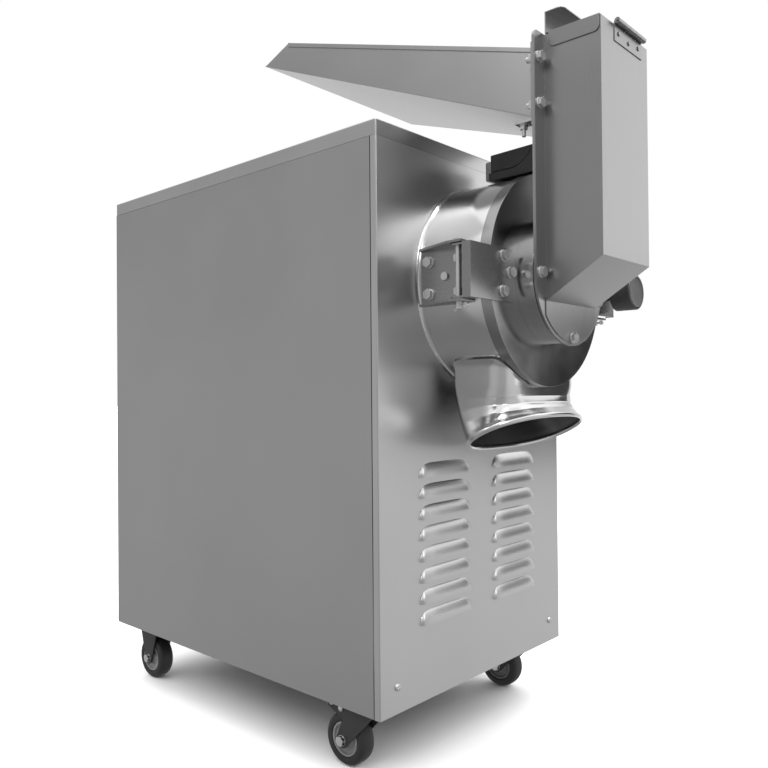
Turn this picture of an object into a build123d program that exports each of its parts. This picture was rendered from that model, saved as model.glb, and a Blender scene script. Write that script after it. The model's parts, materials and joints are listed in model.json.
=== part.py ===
from build123d import *
import math
import os

# Hammer mill on a wheeled cabinet, in millimetres.
# The grinding chamber stands out of the cabinet's front, which faces -Y, and +X is to the right.
# The origin is on the floor under the middle of the machine.
# Unless a comment says otherwise, y values are measured back from the face of the front panel.

os.makedirs("parts", exist_ok=True)

# ---------------------------------------------------------------- driving dimensions
cabinet_width = 470
cabinet_depth = 680
cabinet_height = 800
caster_height = 97
sheet = 1.5
plate = 3.0
gap = 0.3
running_gap = 0.05
flange_width = 15

chamber_height = 593
drum_radius = 151
drum_length = 105.3
drum_wall = 2.0
drum_inset = 32
door_overlap = 1.6
door_wall = 2.5
door_depth = 17.4
boss_radius = 91.4
boss_depth = 27
boss_wall = 2.5
gasket_thickness = 4

chute_width = 141
chute_depth = 82.5
chute_rise = 322
chute_front_rise = 15
chute_back_drop = 37
hinge_reach = 4.5
barrel_radius = 3.8
gland_reach = 22

bolt_radius = 4.0
bolt_clearance = 0.3
bolt_head = 13.0
bolt_head_height = 5.3
washer_radius = 8.0
washer_height = 1.5

# ---------------------------------------------------------------- places that follow
base_z = caster_height
cap_top = base_z + cabinet_height
cap_skirt = 22
panel_top = cap_top - cap_skirt - gap
chamber_z = base_z + chamber_height
half_width = cabinet_width / 2
door_radius = drum_radius + door_overlap
door_back = -drum_length - gap
door_front = door_back - door_depth
boss_front = door_front - boss_depth
plate_back = boss_front - gasket_thickness
plate_front = plate_back - plate
chute_back = plate_front - sheet
chute_front = chute_back - chute_depth
barrel_y = chute_front - hinge_reach
front_reach = barrel_radius - barrel_y
front_y = (front_reach - cabinet_depth - gland_reach) / 2
chute_top = chamber_z + chute_rise
chute_front_bottom = chamber_z + chute_front_rise
chute_back_bottom = chamber_z - chute_back_drop
hole_radius = bolt_radius + bolt_clearance


# ---------------------------------------------------------------- helpers
def block(x, y, z, mode=Mode.ADD):
    """A box between two limits on each axis; y is measured from the front panel's face."""
    centre = ((x[0] + x[1]) / 2, front_y + (y[0] + y[1]) / 2, (z[0] + z[1]) / 2)
    with Locations(centre):
        Box(x[1] - x[0], y[1] - y[0], z[1] - z[0], mode=mode)


def chamber_face(y):
    """A plane across the chamber's axis that faces the front: sketch x is X, sketch y is Z."""
    return Plane(origin=(0, front_y + y, chamber_z), x_dir=(1, 0, 0), z_dir=(0, -1, 0))


def rod(start, direction, radius, length, mode=Mode.ADD):
    """A cylinder from start (y from the front panel's face) along a direction."""
    origin = (start[0], front_y + start[1], start[2])
    with Locations(Plane(origin=origin, z_dir=direction)):
        Cylinder(radius, length, align=(Align.CENTER, Align.CENTER, Align.MIN), mode=mode)


def hex_bolt(seat, out, reach):
    """A hex bolt with its washer on a seat: the head points out, and the shank reaches inwards."""
    base = Plane(origin=(seat[0], front_y + seat[1], seat[2]), z_dir=out)
    inward = tuple(-value for value in out)
    rod(seat, out, washer_radius, washer_height)
    with BuildSketch(base.offset(washer_height)) as head:
        RegularPolygon(bolt_head / 2, 6, major_radius=False)
    extrude(head.sketch, amount=bolt_head_height)
    rod(seat, inward, bolt_radius, reach)


def hex_nut(seat, out, height=6.5):
    """A hex nut with its washer, which stands on a seat around a bolt."""
    base = Plane(origin=(seat[0], front_y + seat[1], seat[2]), z_dir=out)
    with BuildSketch(base) as nut:
        RegularPolygon(bolt_head / 2, 6, major_radius=False)
        Circle(bolt_radius, mode=Mode.SUBTRACT)
    extrude(nut.sketch, amount=height)


def save(part, name):
    """Labels a finished piece and writes it as its own file."""
    part.label = name
    export_step(part, f"parts/{name}.step")


# ================================================================ cabinet
frame_tube = 50
frame_width = 30
frame_wall = 3
pad_thickness = 4
corner_return = 10
panel_joint = 1.5
side_y = (corner_return + panel_joint, cabinet_depth - sheet - gap)
frame_x = half_width - sheet - gap
frame_y = (sheet + gap, cabinet_depth - sheet - gap)

caster_inset_x = 40
caster_front_y = 60
caster_rear_inset = 70
caster_plate_size = (65, 95)
caster_bolt_spacing = (45, 75)
caster_places = {
    "front_left": (-half_width + caster_inset_x, caster_front_y),
    "front_right": (half_width - caster_inset_x, caster_front_y),
    "rear_left": (-half_width + caster_inset_x, cabinet_depth - caster_rear_inset),
    "rear_right": (half_width - caster_inset_x, cabinet_depth - caster_rear_inset),
}
foot_screw_x = half_width - 35
foot_screw_z = base_z + 36
panel_screw_radius = 2.5
pad_half = (40, 60)


def caster_bolt_places():
    """The places of the casters' bolts, as x and y."""
    places = []
    for x, y in caster_places.values():
        for dx in (-caster_bolt_spacing[0] / 2, caster_bolt_spacing[0] / 2):
            for dy in (-caster_bolt_spacing[1] / 2, caster_bolt_spacing[1] / 2):
                places.append((x + dx, y + dy))
    return places


# The base frame is a ring of channel, open inwards, with a pad over each caster.
with BuildPart() as base_frame:
    block((-frame_x, frame_x), frame_y, (base_z, base_z + frame_tube))
    inner_x = frame_x - frame_width
    inner_y = (frame_y[0] + frame_width, frame_y[1] - frame_width)
    block((-inner_x, inner_x), inner_y, (base_z, base_z + frame_tube), mode=Mode.SUBTRACT)
    pocket_x = frame_x - frame_wall
    pocket_y = (frame_y[0] + frame_wall, frame_y[1] - frame_wall)
    pocket_z = (base_z + pad_thickness, base_z + frame_tube - frame_wall)
    block((-pocket_x, pocket_x), pocket_y, pocket_z, mode=Mode.SUBTRACT)
    for x, y in caster_places.values():
        pad_x = (max(x - pad_half[0], -frame_x), min(x + pad_half[0], frame_x))
        pad_y = (max(y - pad_half[1], frame_y[0]), min(y + pad_half[1], frame_y[1]))
        block(pad_x, pad_y, (base_z, base_z + pad_thickness))
    for x, y in caster_bolt_places():
        rod((x, y, base_z - 1), (0, 0, 1), hole_radius, pad_thickness + 2, mode=Mode.SUBTRACT)
    for x in (-foot_screw_x, foot_screw_x):
        for y in (0, cabinet_depth - 8):
            start = (x, y, foot_screw_z)
            rod(start, (0, 1, 0), panel_screw_radius + gap, 8, mode=Mode.SUBTRACT)
save(base_frame.part, "base_frame")

# Louvres: two columns of pressed hoods that open downwards.
louvre_count = 8
louvre_pitch = 29.6
louvre_width = 120
louvre_height = 15
louvre_depth = 8
louvre_taper = 9
louvre_column_x = 90
louvre_bottom_z = base_z + 107


def louvre(width, height, depth, taper, lift, mode):
    """One hood with tapered ends and a sloping face, or the hollow inside it."""
    for column in (-louvre_column_x, louvre_column_x):
        for row in range(louvre_count):
            z = louvre_bottom_z + row * louvre_pitch - lift
            back = Plane(origin=(column, front_y + 0.2, z), x_dir=(1, 0, 0), z_dir=(0, -1, 0))
            with BuildSketch(back) as root:
                with Locations((0, height / 2)):
                    Rectangle(width, height)
            with BuildSketch(back.offset(depth)) as edge:
                with Locations((0, 2)):
                    Rectangle(width - 2 * taper, 4)
            loft([root.sketch, edge.sketch], mode=mode)


cutout_radius = drum_radius + gap
with BuildPart() as front_panel:
    block((-half_width, half_width), (0, sheet), (base_z, panel_top))
    for side in (-1, 1):
        edges = sorted((side * (half_width - sheet), side * half_width))
        block(edges, (0, corner_return), (base_z, panel_top))
    louvre(louvre_width, louvre_height, louvre_depth, louvre_taper, 0, Mode.ADD)
    inner_width = louvre_width - 2 * sheet
    louvre(inner_width, louvre_height - sheet, louvre_depth - sheet, louvre_taper, 1.2, Mode.SUBTRACT)
    for column in (-louvre_column_x, louvre_column_x):
        for row in range(louvre_count):
            low = louvre_bottom_z + row * louvre_pitch
            width = (column - inner_width / 2, column + inner_width / 2)
            block(width, (-0.1, sheet + 1), (low, low + louvre_height - 4), mode=Mode.SUBTRACT)
    with BuildSketch(chamber_face(0)):
        Circle(cutout_radius)
    extrude(amount=10, both=True, mode=Mode.SUBTRACT)
    for x in (-foot_screw_x, foot_screw_x):
        rod((x, -2, foot_screw_z), (0, 1, 0), panel_screw_radius + gap, 8, mode=Mode.SUBTRACT)
save(front_panel.part, "front_panel")



def side_panel(side):
    """A side panel with inward flanges on its front, rear and top edges."""
    outer = side * half_width
    skin = sorted((outer, outer - side * sheet))
    reach = sorted((outer, outer - side * flange_width))
    block(skin, side_y, (base_z, panel_top))
    flange_z = (base_z + frame_tube + 1, panel_top)
    block(reach, (side_y[0], side_y[0] + sheet), flange_z)
    block(reach, (side_y[1] - sheet, side_y[1]), flange_z)
    block(reach, side_y, (panel_top - sheet, panel_top))


with BuildPart() as left_panel:
    side_panel(-1)
save(left_panel.part, "left_panel")

with BuildPart() as right_panel:
    side_panel(1)
save(right_panel.part, "right_panel")

switch_x = -130
switch_z = base_z + 560
switch_size = (60, 110)
switch_plate_thickness = 4
button_radius = 13
button_stem = 10
button_height = 8
button_rise = 4.5
button_spacing = 44
button_places = {
    "start_button": switch_z + button_spacing / 2,
    "stop_button": switch_z - button_spacing / 2,
}
gland_x = 150
gland_z = base_z + 110
gland_radius = 10
vent_count = 8
vent_pitch = 16
with BuildPart() as rear_panel:
    block((-half_width, half_width), (cabinet_depth - sheet, cabinet_depth), (base_z, panel_top))
    for row in range(vent_count):
        low = base_z + 220 + row * vent_pitch
        block((-80, 80), (cabinet_depth - 5, cabinet_depth + 5), (low, low + 6), mode=Mode.SUBTRACT)
    rod((gland_x, cabinet_depth - 5, gland_z), (0, 1, 0), gland_radius + gap, 20, mode=Mode.SUBTRACT)
    for z in button_places.values():
        start = (switch_x, cabinet_depth - 5, z)
        rod(start, (0, 1, 0), button_stem + gap, 10, mode=Mode.SUBTRACT)
    for x in (-foot_screw_x, foot_screw_x):
        for z in (foot_screw_z, panel_top - 20):
            start = (x, cabinet_depth - 5, z)
            rod(start, (0, 1, 0), panel_screw_radius + gap, 10, mode=Mode.SUBTRACT)
save(rear_panel.part, "rear_panel")

with BuildPart() as cable_gland:
    rod((gland_x, cabinet_depth - 8, gland_z), (0, 1, 0), gland_radius, 8)
    base = Plane(origin=(gland_x, front_y + cabinet_depth, gland_z), z_dir=(0, 1, 0))
    with BuildSketch(base):
        RegularPolygon(13, 6)
    extrude(amount=7)
    with BuildSketch(base.offset(7)):
        Circle(11)
    extrude(amount=gland_reach - 7, taper=12)
    rod((gland_x, cabinet_depth - 9, gland_z), (0, 1, 0), 4.5, 40, mode=Mode.SUBTRACT)
save(cable_gland.part, "cable_gland")

# The cover is a tray turned over; its front skirt is cut back over the chamber.
notch = (-16, 75)
notch_height = 10
with BuildPart() as top_cover:
    block((-half_width, half_width), (0, cabinet_depth), (cap_top - cap_skirt, cap_top))
    edge_z = cap_top - cap_skirt
    inner_x = half_width - sheet
    inner = (sheet, cabinet_depth - sheet)
    block((-inner_x, inner_x), inner, (edge_z - 1, cap_top - sheet), mode=Mode.SUBTRACT)
    block(notch, (-1, sheet + 1), (edge_z - 1, edge_z + notch_height), mode=Mode.SUBTRACT)
save(top_cover.part, "top_cover")

with BuildPart() as panel_screws:
    for x in (-foot_screw_x, foot_screw_x):
        for y, z, out in (
            (0, foot_screw_z, -1),
            (cabinet_depth, foot_screw_z, 1),
            (cabinet_depth, panel_top - 20, 1),
        ):
            seat = Plane(origin=(x, front_y + y, z), z_dir=(0, out, 0))
            with BuildSketch(seat):
                Circle(5)
            extrude(amount=2.4, taper=20)
            with BuildSketch(seat):
                Circle(panel_screw_radius)
            extrude(amount=-4.5)
save(panel_screws.part, "panel_screws")

with BuildPart() as switch_plate:
    wide = (switch_x - switch_size[0] / 2, switch_x + switch_size[0] / 2)
    high = (switch_z - switch_size[1] / 2, switch_z + switch_size[1] / 2)
    block(wide, (cabinet_depth, cabinet_depth + switch_plate_thickness), high)
    fillet(switch_plate.edges().filter_by(Axis.Y), 6)
    for z in button_places.values():
        start = (switch_x, cabinet_depth - 1, z)
        rod(start, (0, 1, 0), button_radius + gap, 10, mode=Mode.SUBTRACT)
save(switch_plate.part, "switch_plate")

# Each button has a stem through the rear panel and a collar that keeps it in.
for button_name, z in button_places.items():
    with BuildPart() as button:
        rise = cabinet_depth + button_rise
        rod((switch_x, rise, z), (0, 1, 0), button_radius, button_height)
        rod((switch_x, cabinet_depth - 9, z), (0, 1, 0), button_stem, rise - cabinet_depth + 9)
        rod((switch_x, cabinet_depth - 11, z), (0, 1, 0), button_stem + 2, 2)
    save(button.part, button_name)

# ================================================================ grinding chamber
axis_section = Plane(origin=(0, front_y, chamber_z), x_dir=(1, 0, 0), z_dir=(0, 0, 1))
chamber_axis = Axis((0, front_y, chamber_z), (0, 1, 0))
flare_radius = drum_radius + 3
flare_length = 8
drum_lip = drum_radius - 7
shaft_radius = 15
back_wall_hole = 34
outlet_half = 94
outlet_y = (-drum_length + 6.8, -flare_length - 7)
lug_y = (-drum_length + 7.3, -32)
lug_z = (chamber_z - 38, chamber_z + 30)
bracket_web_x = drum_radius + 21
bracket_bolt_y = (-drum_length + 14.3, -39)
bracket_bolt_z = (chamber_z - 27, chamber_z + 16.5)
bracket_screw = (-drum_length / 2 - 13.5, chamber_z - 5)
bracket_bolt_reach = 12


def bracket_bolt_places():
    """The hinge and latch brackets' four bolts, as y and z."""
    return [(y, z) for y in bracket_bolt_y for z in bracket_bolt_z]


# The drum is a rolled shell with a flared skirt on the front panel, a front lip and a back wall.
with BuildPart() as chamber_drum:
    with BuildSketch(axis_section):
        with BuildLine():
            Polyline(
                (drum_radius, -flare_length),
                (drum_radius, -drum_length),
                (drum_lip, -drum_length),
                (drum_lip, -drum_length + plate),
                (drum_radius - drum_wall, -drum_length + plate),
                (drum_radius - drum_wall, drum_inset - plate),
                (back_wall_hole, drum_inset - plate),
                (back_wall_hole, drum_inset),
                (drum_radius, drum_inset),
                (drum_radius, 0),
                (flare_radius, 0),
            )
            TangentArc((flare_radius, 0), (drum_radius, -flare_length), tangent=(-1, -0.35))
        make_face()
    revolve(axis=chamber_axis)
    for side in (-1, 1):
        reach = sorted((side * (bracket_web_x - plate), side * 100))
        block(reach, lug_y, lug_z)
    with BuildSketch(chamber_face(lug_y[1] + 1)):
        Circle(drum_radius - drum_wall)
    extrude(amount=lug_y[1] - lug_y[0] + 2, mode=Mode.SUBTRACT)
    outlet_top = chamber_z - drum_radius + 60
    outlet = (-outlet_half, outlet_half)
    block(outlet, outlet_y, (chamber_z - drum_radius - 5, outlet_top), mode=Mode.SUBTRACT)
    for side in (-1, 1):
        for y, z in bracket_bolt_places() + [bracket_screw]:
            start = (side * bracket_web_x, y, z)
            depth = bracket_bolt_reach + 2
            rod(start, (-side, 0, 0), hole_radius, depth, mode=Mode.SUBTRACT)
save(chamber_drum.part, "chamber_drum")

# The spout drops from the drum's underside and flares to a leaning oval mouth with a rolled rim.
neck_lap = 6
neck_size = (2 * outlet_half + 8, outlet_y[1] - outlet_y[0] + 2 * neck_lap)
neck_centre_y = (outlet_y[0] + outlet_y[1]) / 2
neck_corner = 18
neck_bottom = chamber_z - drum_radius - 10
mouth_centre = (neck_centre_y - 21, chamber_z - drum_radius - 67.5)
mouth_radii = (131, 56)
mouth_lean = 28
rim_radius = 4
spout_wall = 2
mouth_plane = Plane(
    origin=(0, front_y + mouth_centre[0], mouth_centre[1]),
    x_dir=(1, 0, 0),
    z_dir=(0, math.sin(math.radians(mouth_lean)), math.cos(math.radians(mouth_lean))),
)


def spout_body(inset, mode):
    """The neck and its flare, or the hollow inside them."""
    origin = (0, front_y + neck_centre_y)
    with BuildSketch(Plane(origin=(*origin, neck_bottom))) as neck:
        RectangleRounded(neck_size[0] - 2 * inset, neck_size[1] - 2 * inset, neck_corner - inset)
    extrude(neck.sketch, amount=80, mode=mode)
    with BuildSketch(mouth_plane) as mouth:
        Ellipse(mouth_radii[0] - inset, mouth_radii[1] - inset)
    loft([neck.sketch, mouth.sketch], mode=mode)


with BuildPart() as discharge_spout:
    spout_body(0, Mode.ADD)
    spout_body(spout_wall, Mode.SUBTRACT)
    with BuildSketch(mouth_plane.offset(-2 * rim_radius)):
        Ellipse(mouth_radii[0] + rim_radius - 1, mouth_radii[1] + rim_radius - 1)
        Ellipse(mouth_radii[0] - rim_radius, mouth_radii[1] - rim_radius, mode=Mode.SUBTRACT)
    extrude(amount=2 * rim_radius + 1)
    with BuildSketch(chamber_face(drum_inset)):
        Circle(drum_radius)
    extrude(amount=drum_length + drum_inset + 50, mode=Mode.SUBTRACT)
save(discharge_spout.part, "discharge_spout")

# The sizing screen is a perforated ring between the hammers and the drum.
screen_radius = drum_radius - 10
screen_wall = 2
screen_y = (-drum_length + 4.3, drum_inset - 12)
screen_slots = 24
screen_arc = 150
with BuildPart() as sizing_screen:
    with BuildSketch(chamber_face(screen_y[1])):
        Circle(screen_radius)
        Circle(screen_radius - screen_wall, mode=Mode.SUBTRACT)
    extrude(amount=screen_y[1] - screen_y[0])
    for row_y in (-84, -50, -16):
        step = screen_arc / (screen_slots - 1)
        for index in range(screen_slots):
            angle = math.radians(-90 - screen_arc / 2 + index * step)
            middle = screen_radius - screen_wall / 2
            centre = (middle * math.cos(angle), front_y + row_y, chamber_z + middle * math.sin(angle))
            with Locations(Location(centre, (0, -math.degrees(angle), 0))):
                Box(10, 24, 5, mode=Mode.SUBTRACT)
    with BuildSketch(chamber_face(screen_y[1] + 6)):
        Circle(drum_radius - drum_wall - gap)
        Circle(screen_radius - screen_wall, mode=Mode.SUBTRACT)
    extrude(amount=6)
save(sizing_screen.part, "sizing_screen")

# Rotor: a shaft, two discs, four pins, and swinging hammers on each pin.
disc_radius = screen_radius - 45
disc_thickness = 6
disc_y = (-drum_length + 17.3, -22)
rotor_hub_radius = 28
pin_circle = disc_radius - 14
hammer_pin_radius = 6
hammer_size = (24, 62, 6)
hammer_pitch = 14
hammer_start = disc_y[0] + disc_thickness + 12
hammer_count = 4
pin_offset = pin_circle / math.sqrt(2)
hammer_pin_places = [
    (side * pin_offset, chamber_z + up * pin_offset) for side in (-1, 1) for up in (-1, 1)
]
rotor_shaft_y = (disc_y[0] - 6, 300)
pulley_y = (232, 268)
driven_radius = 72
motor_radius = 54
groove_depth = 9
belt_gap = 0.4
bearing_length = 150
bearing_radius = 42

with BuildPart() as rotor_shaft:
    length = rotor_shaft_y[1] - rotor_shaft_y[0]
    rod((0, rotor_shaft_y[0], chamber_z), (0, 1, 0), shaft_radius, length)
save(rotor_shaft.part, "rotor_shaft")

# The pins that carry the hammers are pressed through both discs.
with BuildPart() as rotor_discs:
    for y in disc_y:
        rod((0, y, chamber_z), (0, 1, 0), disc_radius, disc_thickness)
    hub_start = disc_y[0] + disc_thickness
    rod((0, hub_start, chamber_z), (0, 1, 0), rotor_hub_radius, disc_y[1] - hub_start)
    for x, z in hammer_pin_places:
        for y in disc_y:
            length = disc_thickness + 2
            rod((x, y - 1, z), (0, 1, 0), hammer_pin_radius, length, mode=Mode.SUBTRACT)
    length = disc_y[1] - disc_y[0] + 2 * disc_thickness
    rod((0, disc_y[0] - 1, chamber_z), (0, 1, 0), shaft_radius, length, mode=Mode.SUBTRACT)
save(rotor_discs.part, "rotor_discs")

with BuildPart() as hammer_pins:
    for x, z in hammer_pin_places:
        reach = disc_y[1] - disc_y[0] + disc_thickness
        rod((x, disc_y[0], z), (0, 1, 0), hammer_pin_radius, reach)
save(hammer_pins.part, "hammer_pins")

# The hammers hang straight down from their pins while the rotor stands still.
for number, (x, z) in enumerate(hammer_pin_places, start=1):
    with BuildPart() as hammers:
        for index in range(hammer_count):
            y = hammer_start + index * hammer_pitch
            face = Plane(origin=(x, front_y + y, z), x_dir=(1, 0, 0), z_dir=(0, -1, 0))
            with BuildSketch(face):
                with Locations((0, -(hammer_size[1] - hammer_size[0]) / 2)):
                    SlotOverall(hammer_size[1], hammer_size[0], rotation=90)
                Circle(hammer_pin_radius + running_gap, mode=Mode.SUBTRACT)
            extrude(amount=hammer_size[2])
    save(hammers.part, f"hammers_{number}")

with BuildPart() as bearing_housing:
    rod((0, drum_inset, chamber_z), (0, 1, 0), 62, 12)
    rod((0, drum_inset, chamber_z), (0, 1, 0), bearing_radius, bearing_length)
    bore = shaft_radius + running_gap
    rod((0, drum_inset, chamber_z), (0, 1, 0), bore, bearing_length, mode=Mode.SUBTRACT)
save(bearing_housing.part, "bearing_housing")

motor_z = base_z + frame_tube + 6 + 92
motor_body_radius = 80
motor_body_y = (296, 530)
motor_shaft_radius = 12
motor_shaft_depth = 30


def grooved_pulley(radius, z, bore):
    """A pulley with two belt grooves."""
    width = pulley_y[1] - pulley_y[0]
    rod((0, pulley_y[0], z), (0, 1, 0), radius, width)
    for groove in (0, 1):
        start = pulley_y[0] + 5 + groove * 15
        face = Plane(origin=(0, front_y + start, z), z_dir=(0, 1, 0))
        with BuildSketch(face) as ring:
            Circle(radius + 1)
            Circle(radius - groove_depth, mode=Mode.SUBTRACT)
        extrude(ring.sketch, amount=11, mode=Mode.SUBTRACT)
    rod((0, pulley_y[0], z), (0, 1, 0), bore, width, mode=Mode.SUBTRACT)


with BuildPart() as driven_pulley:
    grooved_pulley(driven_radius, chamber_z, shaft_radius)
save(driven_pulley.part, "driven_pulley")

with BuildPart() as motor_pulley:
    grooved_pulley(motor_radius, motor_z, motor_shaft_radius)
    length = motor_body_y[0] + motor_shaft_depth - pulley_y[0]
    rod((0, pulley_y[0], motor_z), (0, 1, 0), motor_shaft_radius, length)
save(motor_pulley.part, "motor_pulley")

with BuildPart() as drive_belts:
    for groove in (0, 1):
        start = pulley_y[0] + 5 + groove * 15 + belt_gap
        face = Plane(origin=(0, front_y + start, 0), x_dir=(-1, 0, 0), z_dir=(0, 1, 0))
        for extra, mode in ((8, Mode.ADD), (belt_gap, Mode.SUBTRACT)):
            with BuildSketch(face):
                with Locations((0, chamber_z)):
                    Circle(driven_radius - groove_depth + extra)
                with Locations((0, motor_z)):
                    Circle(motor_radius - groove_depth + extra)
                make_hull()
            extrude(amount=11 - 2 * belt_gap, mode=mode)
save(drive_belts.part, "drive_belts")

with BuildPart() as motor_body:
    span = motor_body_y[1] - motor_body_y[0]
    rod((0, motor_body_y[0], motor_z), (0, 1, 0), motor_body_radius, span)
    for side in (-1, 1):
        feet = sorted((side * 40, side * 85))
        block(feet, (330, 500), (base_z + frame_tube + 6, motor_z - 60))
    block((-45, 45), (360, 450), (motor_z, motor_z + 112))
    bore = motor_shaft_radius + running_gap
    depth = motor_shaft_depth + 10
    rod((0, motor_body_y[0] - 1, motor_z), (0, 1, 0), bore, depth, mode=Mode.SUBTRACT)
save(motor_body.part, "motor_body")

with BuildPart() as motor_plate:
    floor_z = base_z + frame_tube
    block((-frame_x + 18, frame_x - 18), (310, 520), (floor_z, floor_z + 6))
save(motor_plate.part, "motor_plate")

# ================================================================ door interlock
interlock_half = 34
interlock_base_y = (door_front - 5, -31)
interlock_cover_y = (door_front + 5, -45)
interlock_curve_y = interlock_cover_y[0] + 40
interlock_bottom = chamber_z + door_radius + 2 * gap
interlock_split = interlock_bottom + 12.5
interlock_top = interlock_bottom + 40
with BuildPart() as interlock_base:
    side_plane = Plane(
        origin=(-interlock_half, front_y, 0), x_dir=(0, 1, 0), z_dir=(1, 0, 0)
    )
    with BuildSketch(side_plane):
        with BuildLine():
            Polyline(
                (interlock_cover_y[1], interlock_split),
                (interlock_base_y[1], interlock_split),
                (interlock_base_y[1], interlock_bottom),
                (interlock_base_y[0], interlock_bottom),
                (interlock_base_y[0], interlock_top - 3),
                (interlock_cover_y[0], interlock_top - 3),
            )
            Line((interlock_cover_y[1], interlock_split), (interlock_curve_y, interlock_split))
            ThreePointArc(
                (interlock_curve_y, interlock_split),
                (interlock_curve_y - 23, interlock_split + 8),
                (interlock_cover_y[0], interlock_top - 3),
            )
        make_face()
    extrude(amount=2 * interlock_half)
    block((-18, 18), (-98, -40), (chamber_z + drum_radius - 3, interlock_bottom))
    with BuildSketch(chamber_face(0)):
        Circle(drum_radius)
    extrude(amount=150, mode=Mode.SUBTRACT)
save(interlock_base.part, "interlock_base")

with BuildPart() as interlock_cover:
    with BuildSketch(side_plane):
        with BuildLine():
            Polyline(
                (interlock_cover_y[0] - 0.5, interlock_top),
                (interlock_cover_y[1], interlock_top - 2),
                (interlock_cover_y[1], interlock_split),
                (interlock_curve_y, interlock_split),
            )
            ThreePointArc(
                (interlock_curve_y, interlock_split),
                (interlock_curve_y - 23, interlock_split + 8),
                (interlock_cover_y[0], interlock_top - 3),
            )
            Line(
                (interlock_cover_y[0], interlock_top - 3),
                (interlock_cover_y[0] - 0.5, interlock_top),
            )
        make_face()
    extrude(amount=2 * interlock_half)
save(interlock_cover.part, "interlock_cover")

# ================================================================ hinge and latch brackets
pin_x = bracket_web_x + 15
pin_y = -drum_length + 6.3
pin_radius = 4
bracket_z = (chamber_z - 43, chamber_z + 35)
bracket_y = (-drum_length - 6.7, -25)
bracket_reach = pin_x + 13
flange_end = 5
ear_radius = 10
ear_gap = 0.5
ear_z = (bracket_z[0] + plate + ear_gap, bracket_z[1] - plate - ear_gap)


def fixed_bracket(side):
    """A channel bolted to the drum's lug; its flanges point outwards and carry the pin."""
    web = sorted((side * (bracket_web_x - plate), side * bracket_web_x))
    block(web, bracket_y, bracket_z)
    with BuildSketch(Plane(origin=(0, front_y, bracket_z[0]))) as flange:
        Polygon(
            (side * bracket_web_x, bracket_y[1]),
            (side * (bracket_web_x + flange_end), bracket_y[1]),
            (side * bracket_reach, pin_y + ear_radius),
            (side * bracket_reach, bracket_y[0]),
            (side * bracket_web_x, bracket_y[0]),
            align=None,
        )
    extrude(flange.sketch, amount=plate)
    with Locations((0, 0, bracket_z[1] - bracket_z[0] - plate)):
        add(extrude(flange.sketch, amount=plate, mode=Mode.PRIVATE))
    for y, z in bracket_bolt_places() + [bracket_screw]:
        start = (side * (bracket_web_x + 1), y, z)
        rod(start, (-side, 0, 0), hole_radius, plate + 2, mode=Mode.SUBTRACT)
    start = (side * pin_x, pin_y, bracket_z[0] - 1)
    height = bracket_z[1] - bracket_z[0] + 2
    rod(start, (0, 0, 1), pin_radius + running_gap, height, mode=Mode.SUBTRACT)


with BuildPart() as hinge_bracket:
    fixed_bracket(-1)
save(hinge_bracket.part, "hinge_bracket")

with BuildPart() as latch_bracket:
    fixed_bracket(1)
save(latch_bracket.part, "latch_bracket")

with BuildPart() as bracket_bolts:
    for side in (-1, 1):
        for y, z in bracket_bolt_places():
            hex_bolt((side * bracket_web_x, y, z), (side, 0, 0), bracket_bolt_reach)
        seat = Plane(
            origin=(side * bracket_web_x, front_y + bracket_screw[0], bracket_screw[1]),
            z_dir=(side, 0, 0),
        )
        with BuildSketch(seat):
            Circle(6.5)
        extrude(amount=3.5, taper=15)
        with BuildSketch(seat):
            Circle(3)
        extrude(amount=-bracket_bolt_reach)
save(bracket_bolts.part, "bracket_bolts")

with BuildPart() as bracket_pins:
    for side in (-1, 1):
        start = (side * pin_x, pin_y, bracket_z[0] - 9)
        rod(start, (0, 0, 1), pin_radius, bracket_z[1] - bracket_z[0] + 9)
        rod((side * pin_x, pin_y, bracket_z[1]), (0, 0, 1), 6.5, 3)
        split_pin_z = bracket_z[0] - 4.5
        rod((side * pin_x, pin_y - 9, split_pin_z), (0, 1, 0), 1.3, 18)
        rod((side * pin_x - 1, pin_y - 11, split_pin_z), (1, 0, 0), 3.6, 2)
save(bracket_pins.part, "bracket_pins")

# ================================================================ chamber door
door_hole = boss_radius - 7.4
bracket_plate_x = (door_radius - 52.6, bracket_reach - 1)
door_bolt_places = (
    (bracket_plate_x[0] + 25, chamber_z + 21),
    (bracket_plate_x[0] + 27, chamber_z - 26),
    (bracket_plate_x[0] + 9, chamber_z),
)
latch_slot = (chamber_z - 10, chamber_z + 4)
swing_z = (latch_slot[0] + latch_slot[1]) / 2
collar_radius = 10


def door_bolt_holes(y, depth):
    """Clearance holes for both brackets' bolts, through whatever lies behind y."""
    for side in (-1, 1):
        for x, z in door_bolt_places:
            rod((side * x, y, z), (0, 1, 0), hole_radius, depth, mode=Mode.SUBTRACT)


with BuildPart() as chamber_door:
    with BuildSketch(axis_section):
        with BuildLine():
            Polyline(
                (door_hole, door_front),
                (door_radius, door_front),
                (door_radius, door_back),
                (door_radius - door_wall, door_back),
                (door_radius - door_wall, door_front + door_wall),
                (door_hole, door_front + door_wall),
                close=True,
            )
        make_face()
    revolve(axis=chamber_axis)
    door_bolt_holes(door_front - 1, door_wall + 2)
save(chamber_door.part, "chamber_door")

seal_outer = door_radius - door_wall
with BuildPart() as door_seal:
    with BuildSketch(chamber_face(door_back)):
        Circle(seal_outer)
        Circle(seal_outer - 5, mode=Mode.SUBTRACT)
    extrude(amount=door_depth - door_wall)
save(door_seal.part, "door_seal")

inlet_half = 52
inlet_z = (chamber_z - 32, chamber_z + 55)
boss_lip = boss_radius - 17.4
chute_bolt_circle = boss_radius - 7.4


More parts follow.
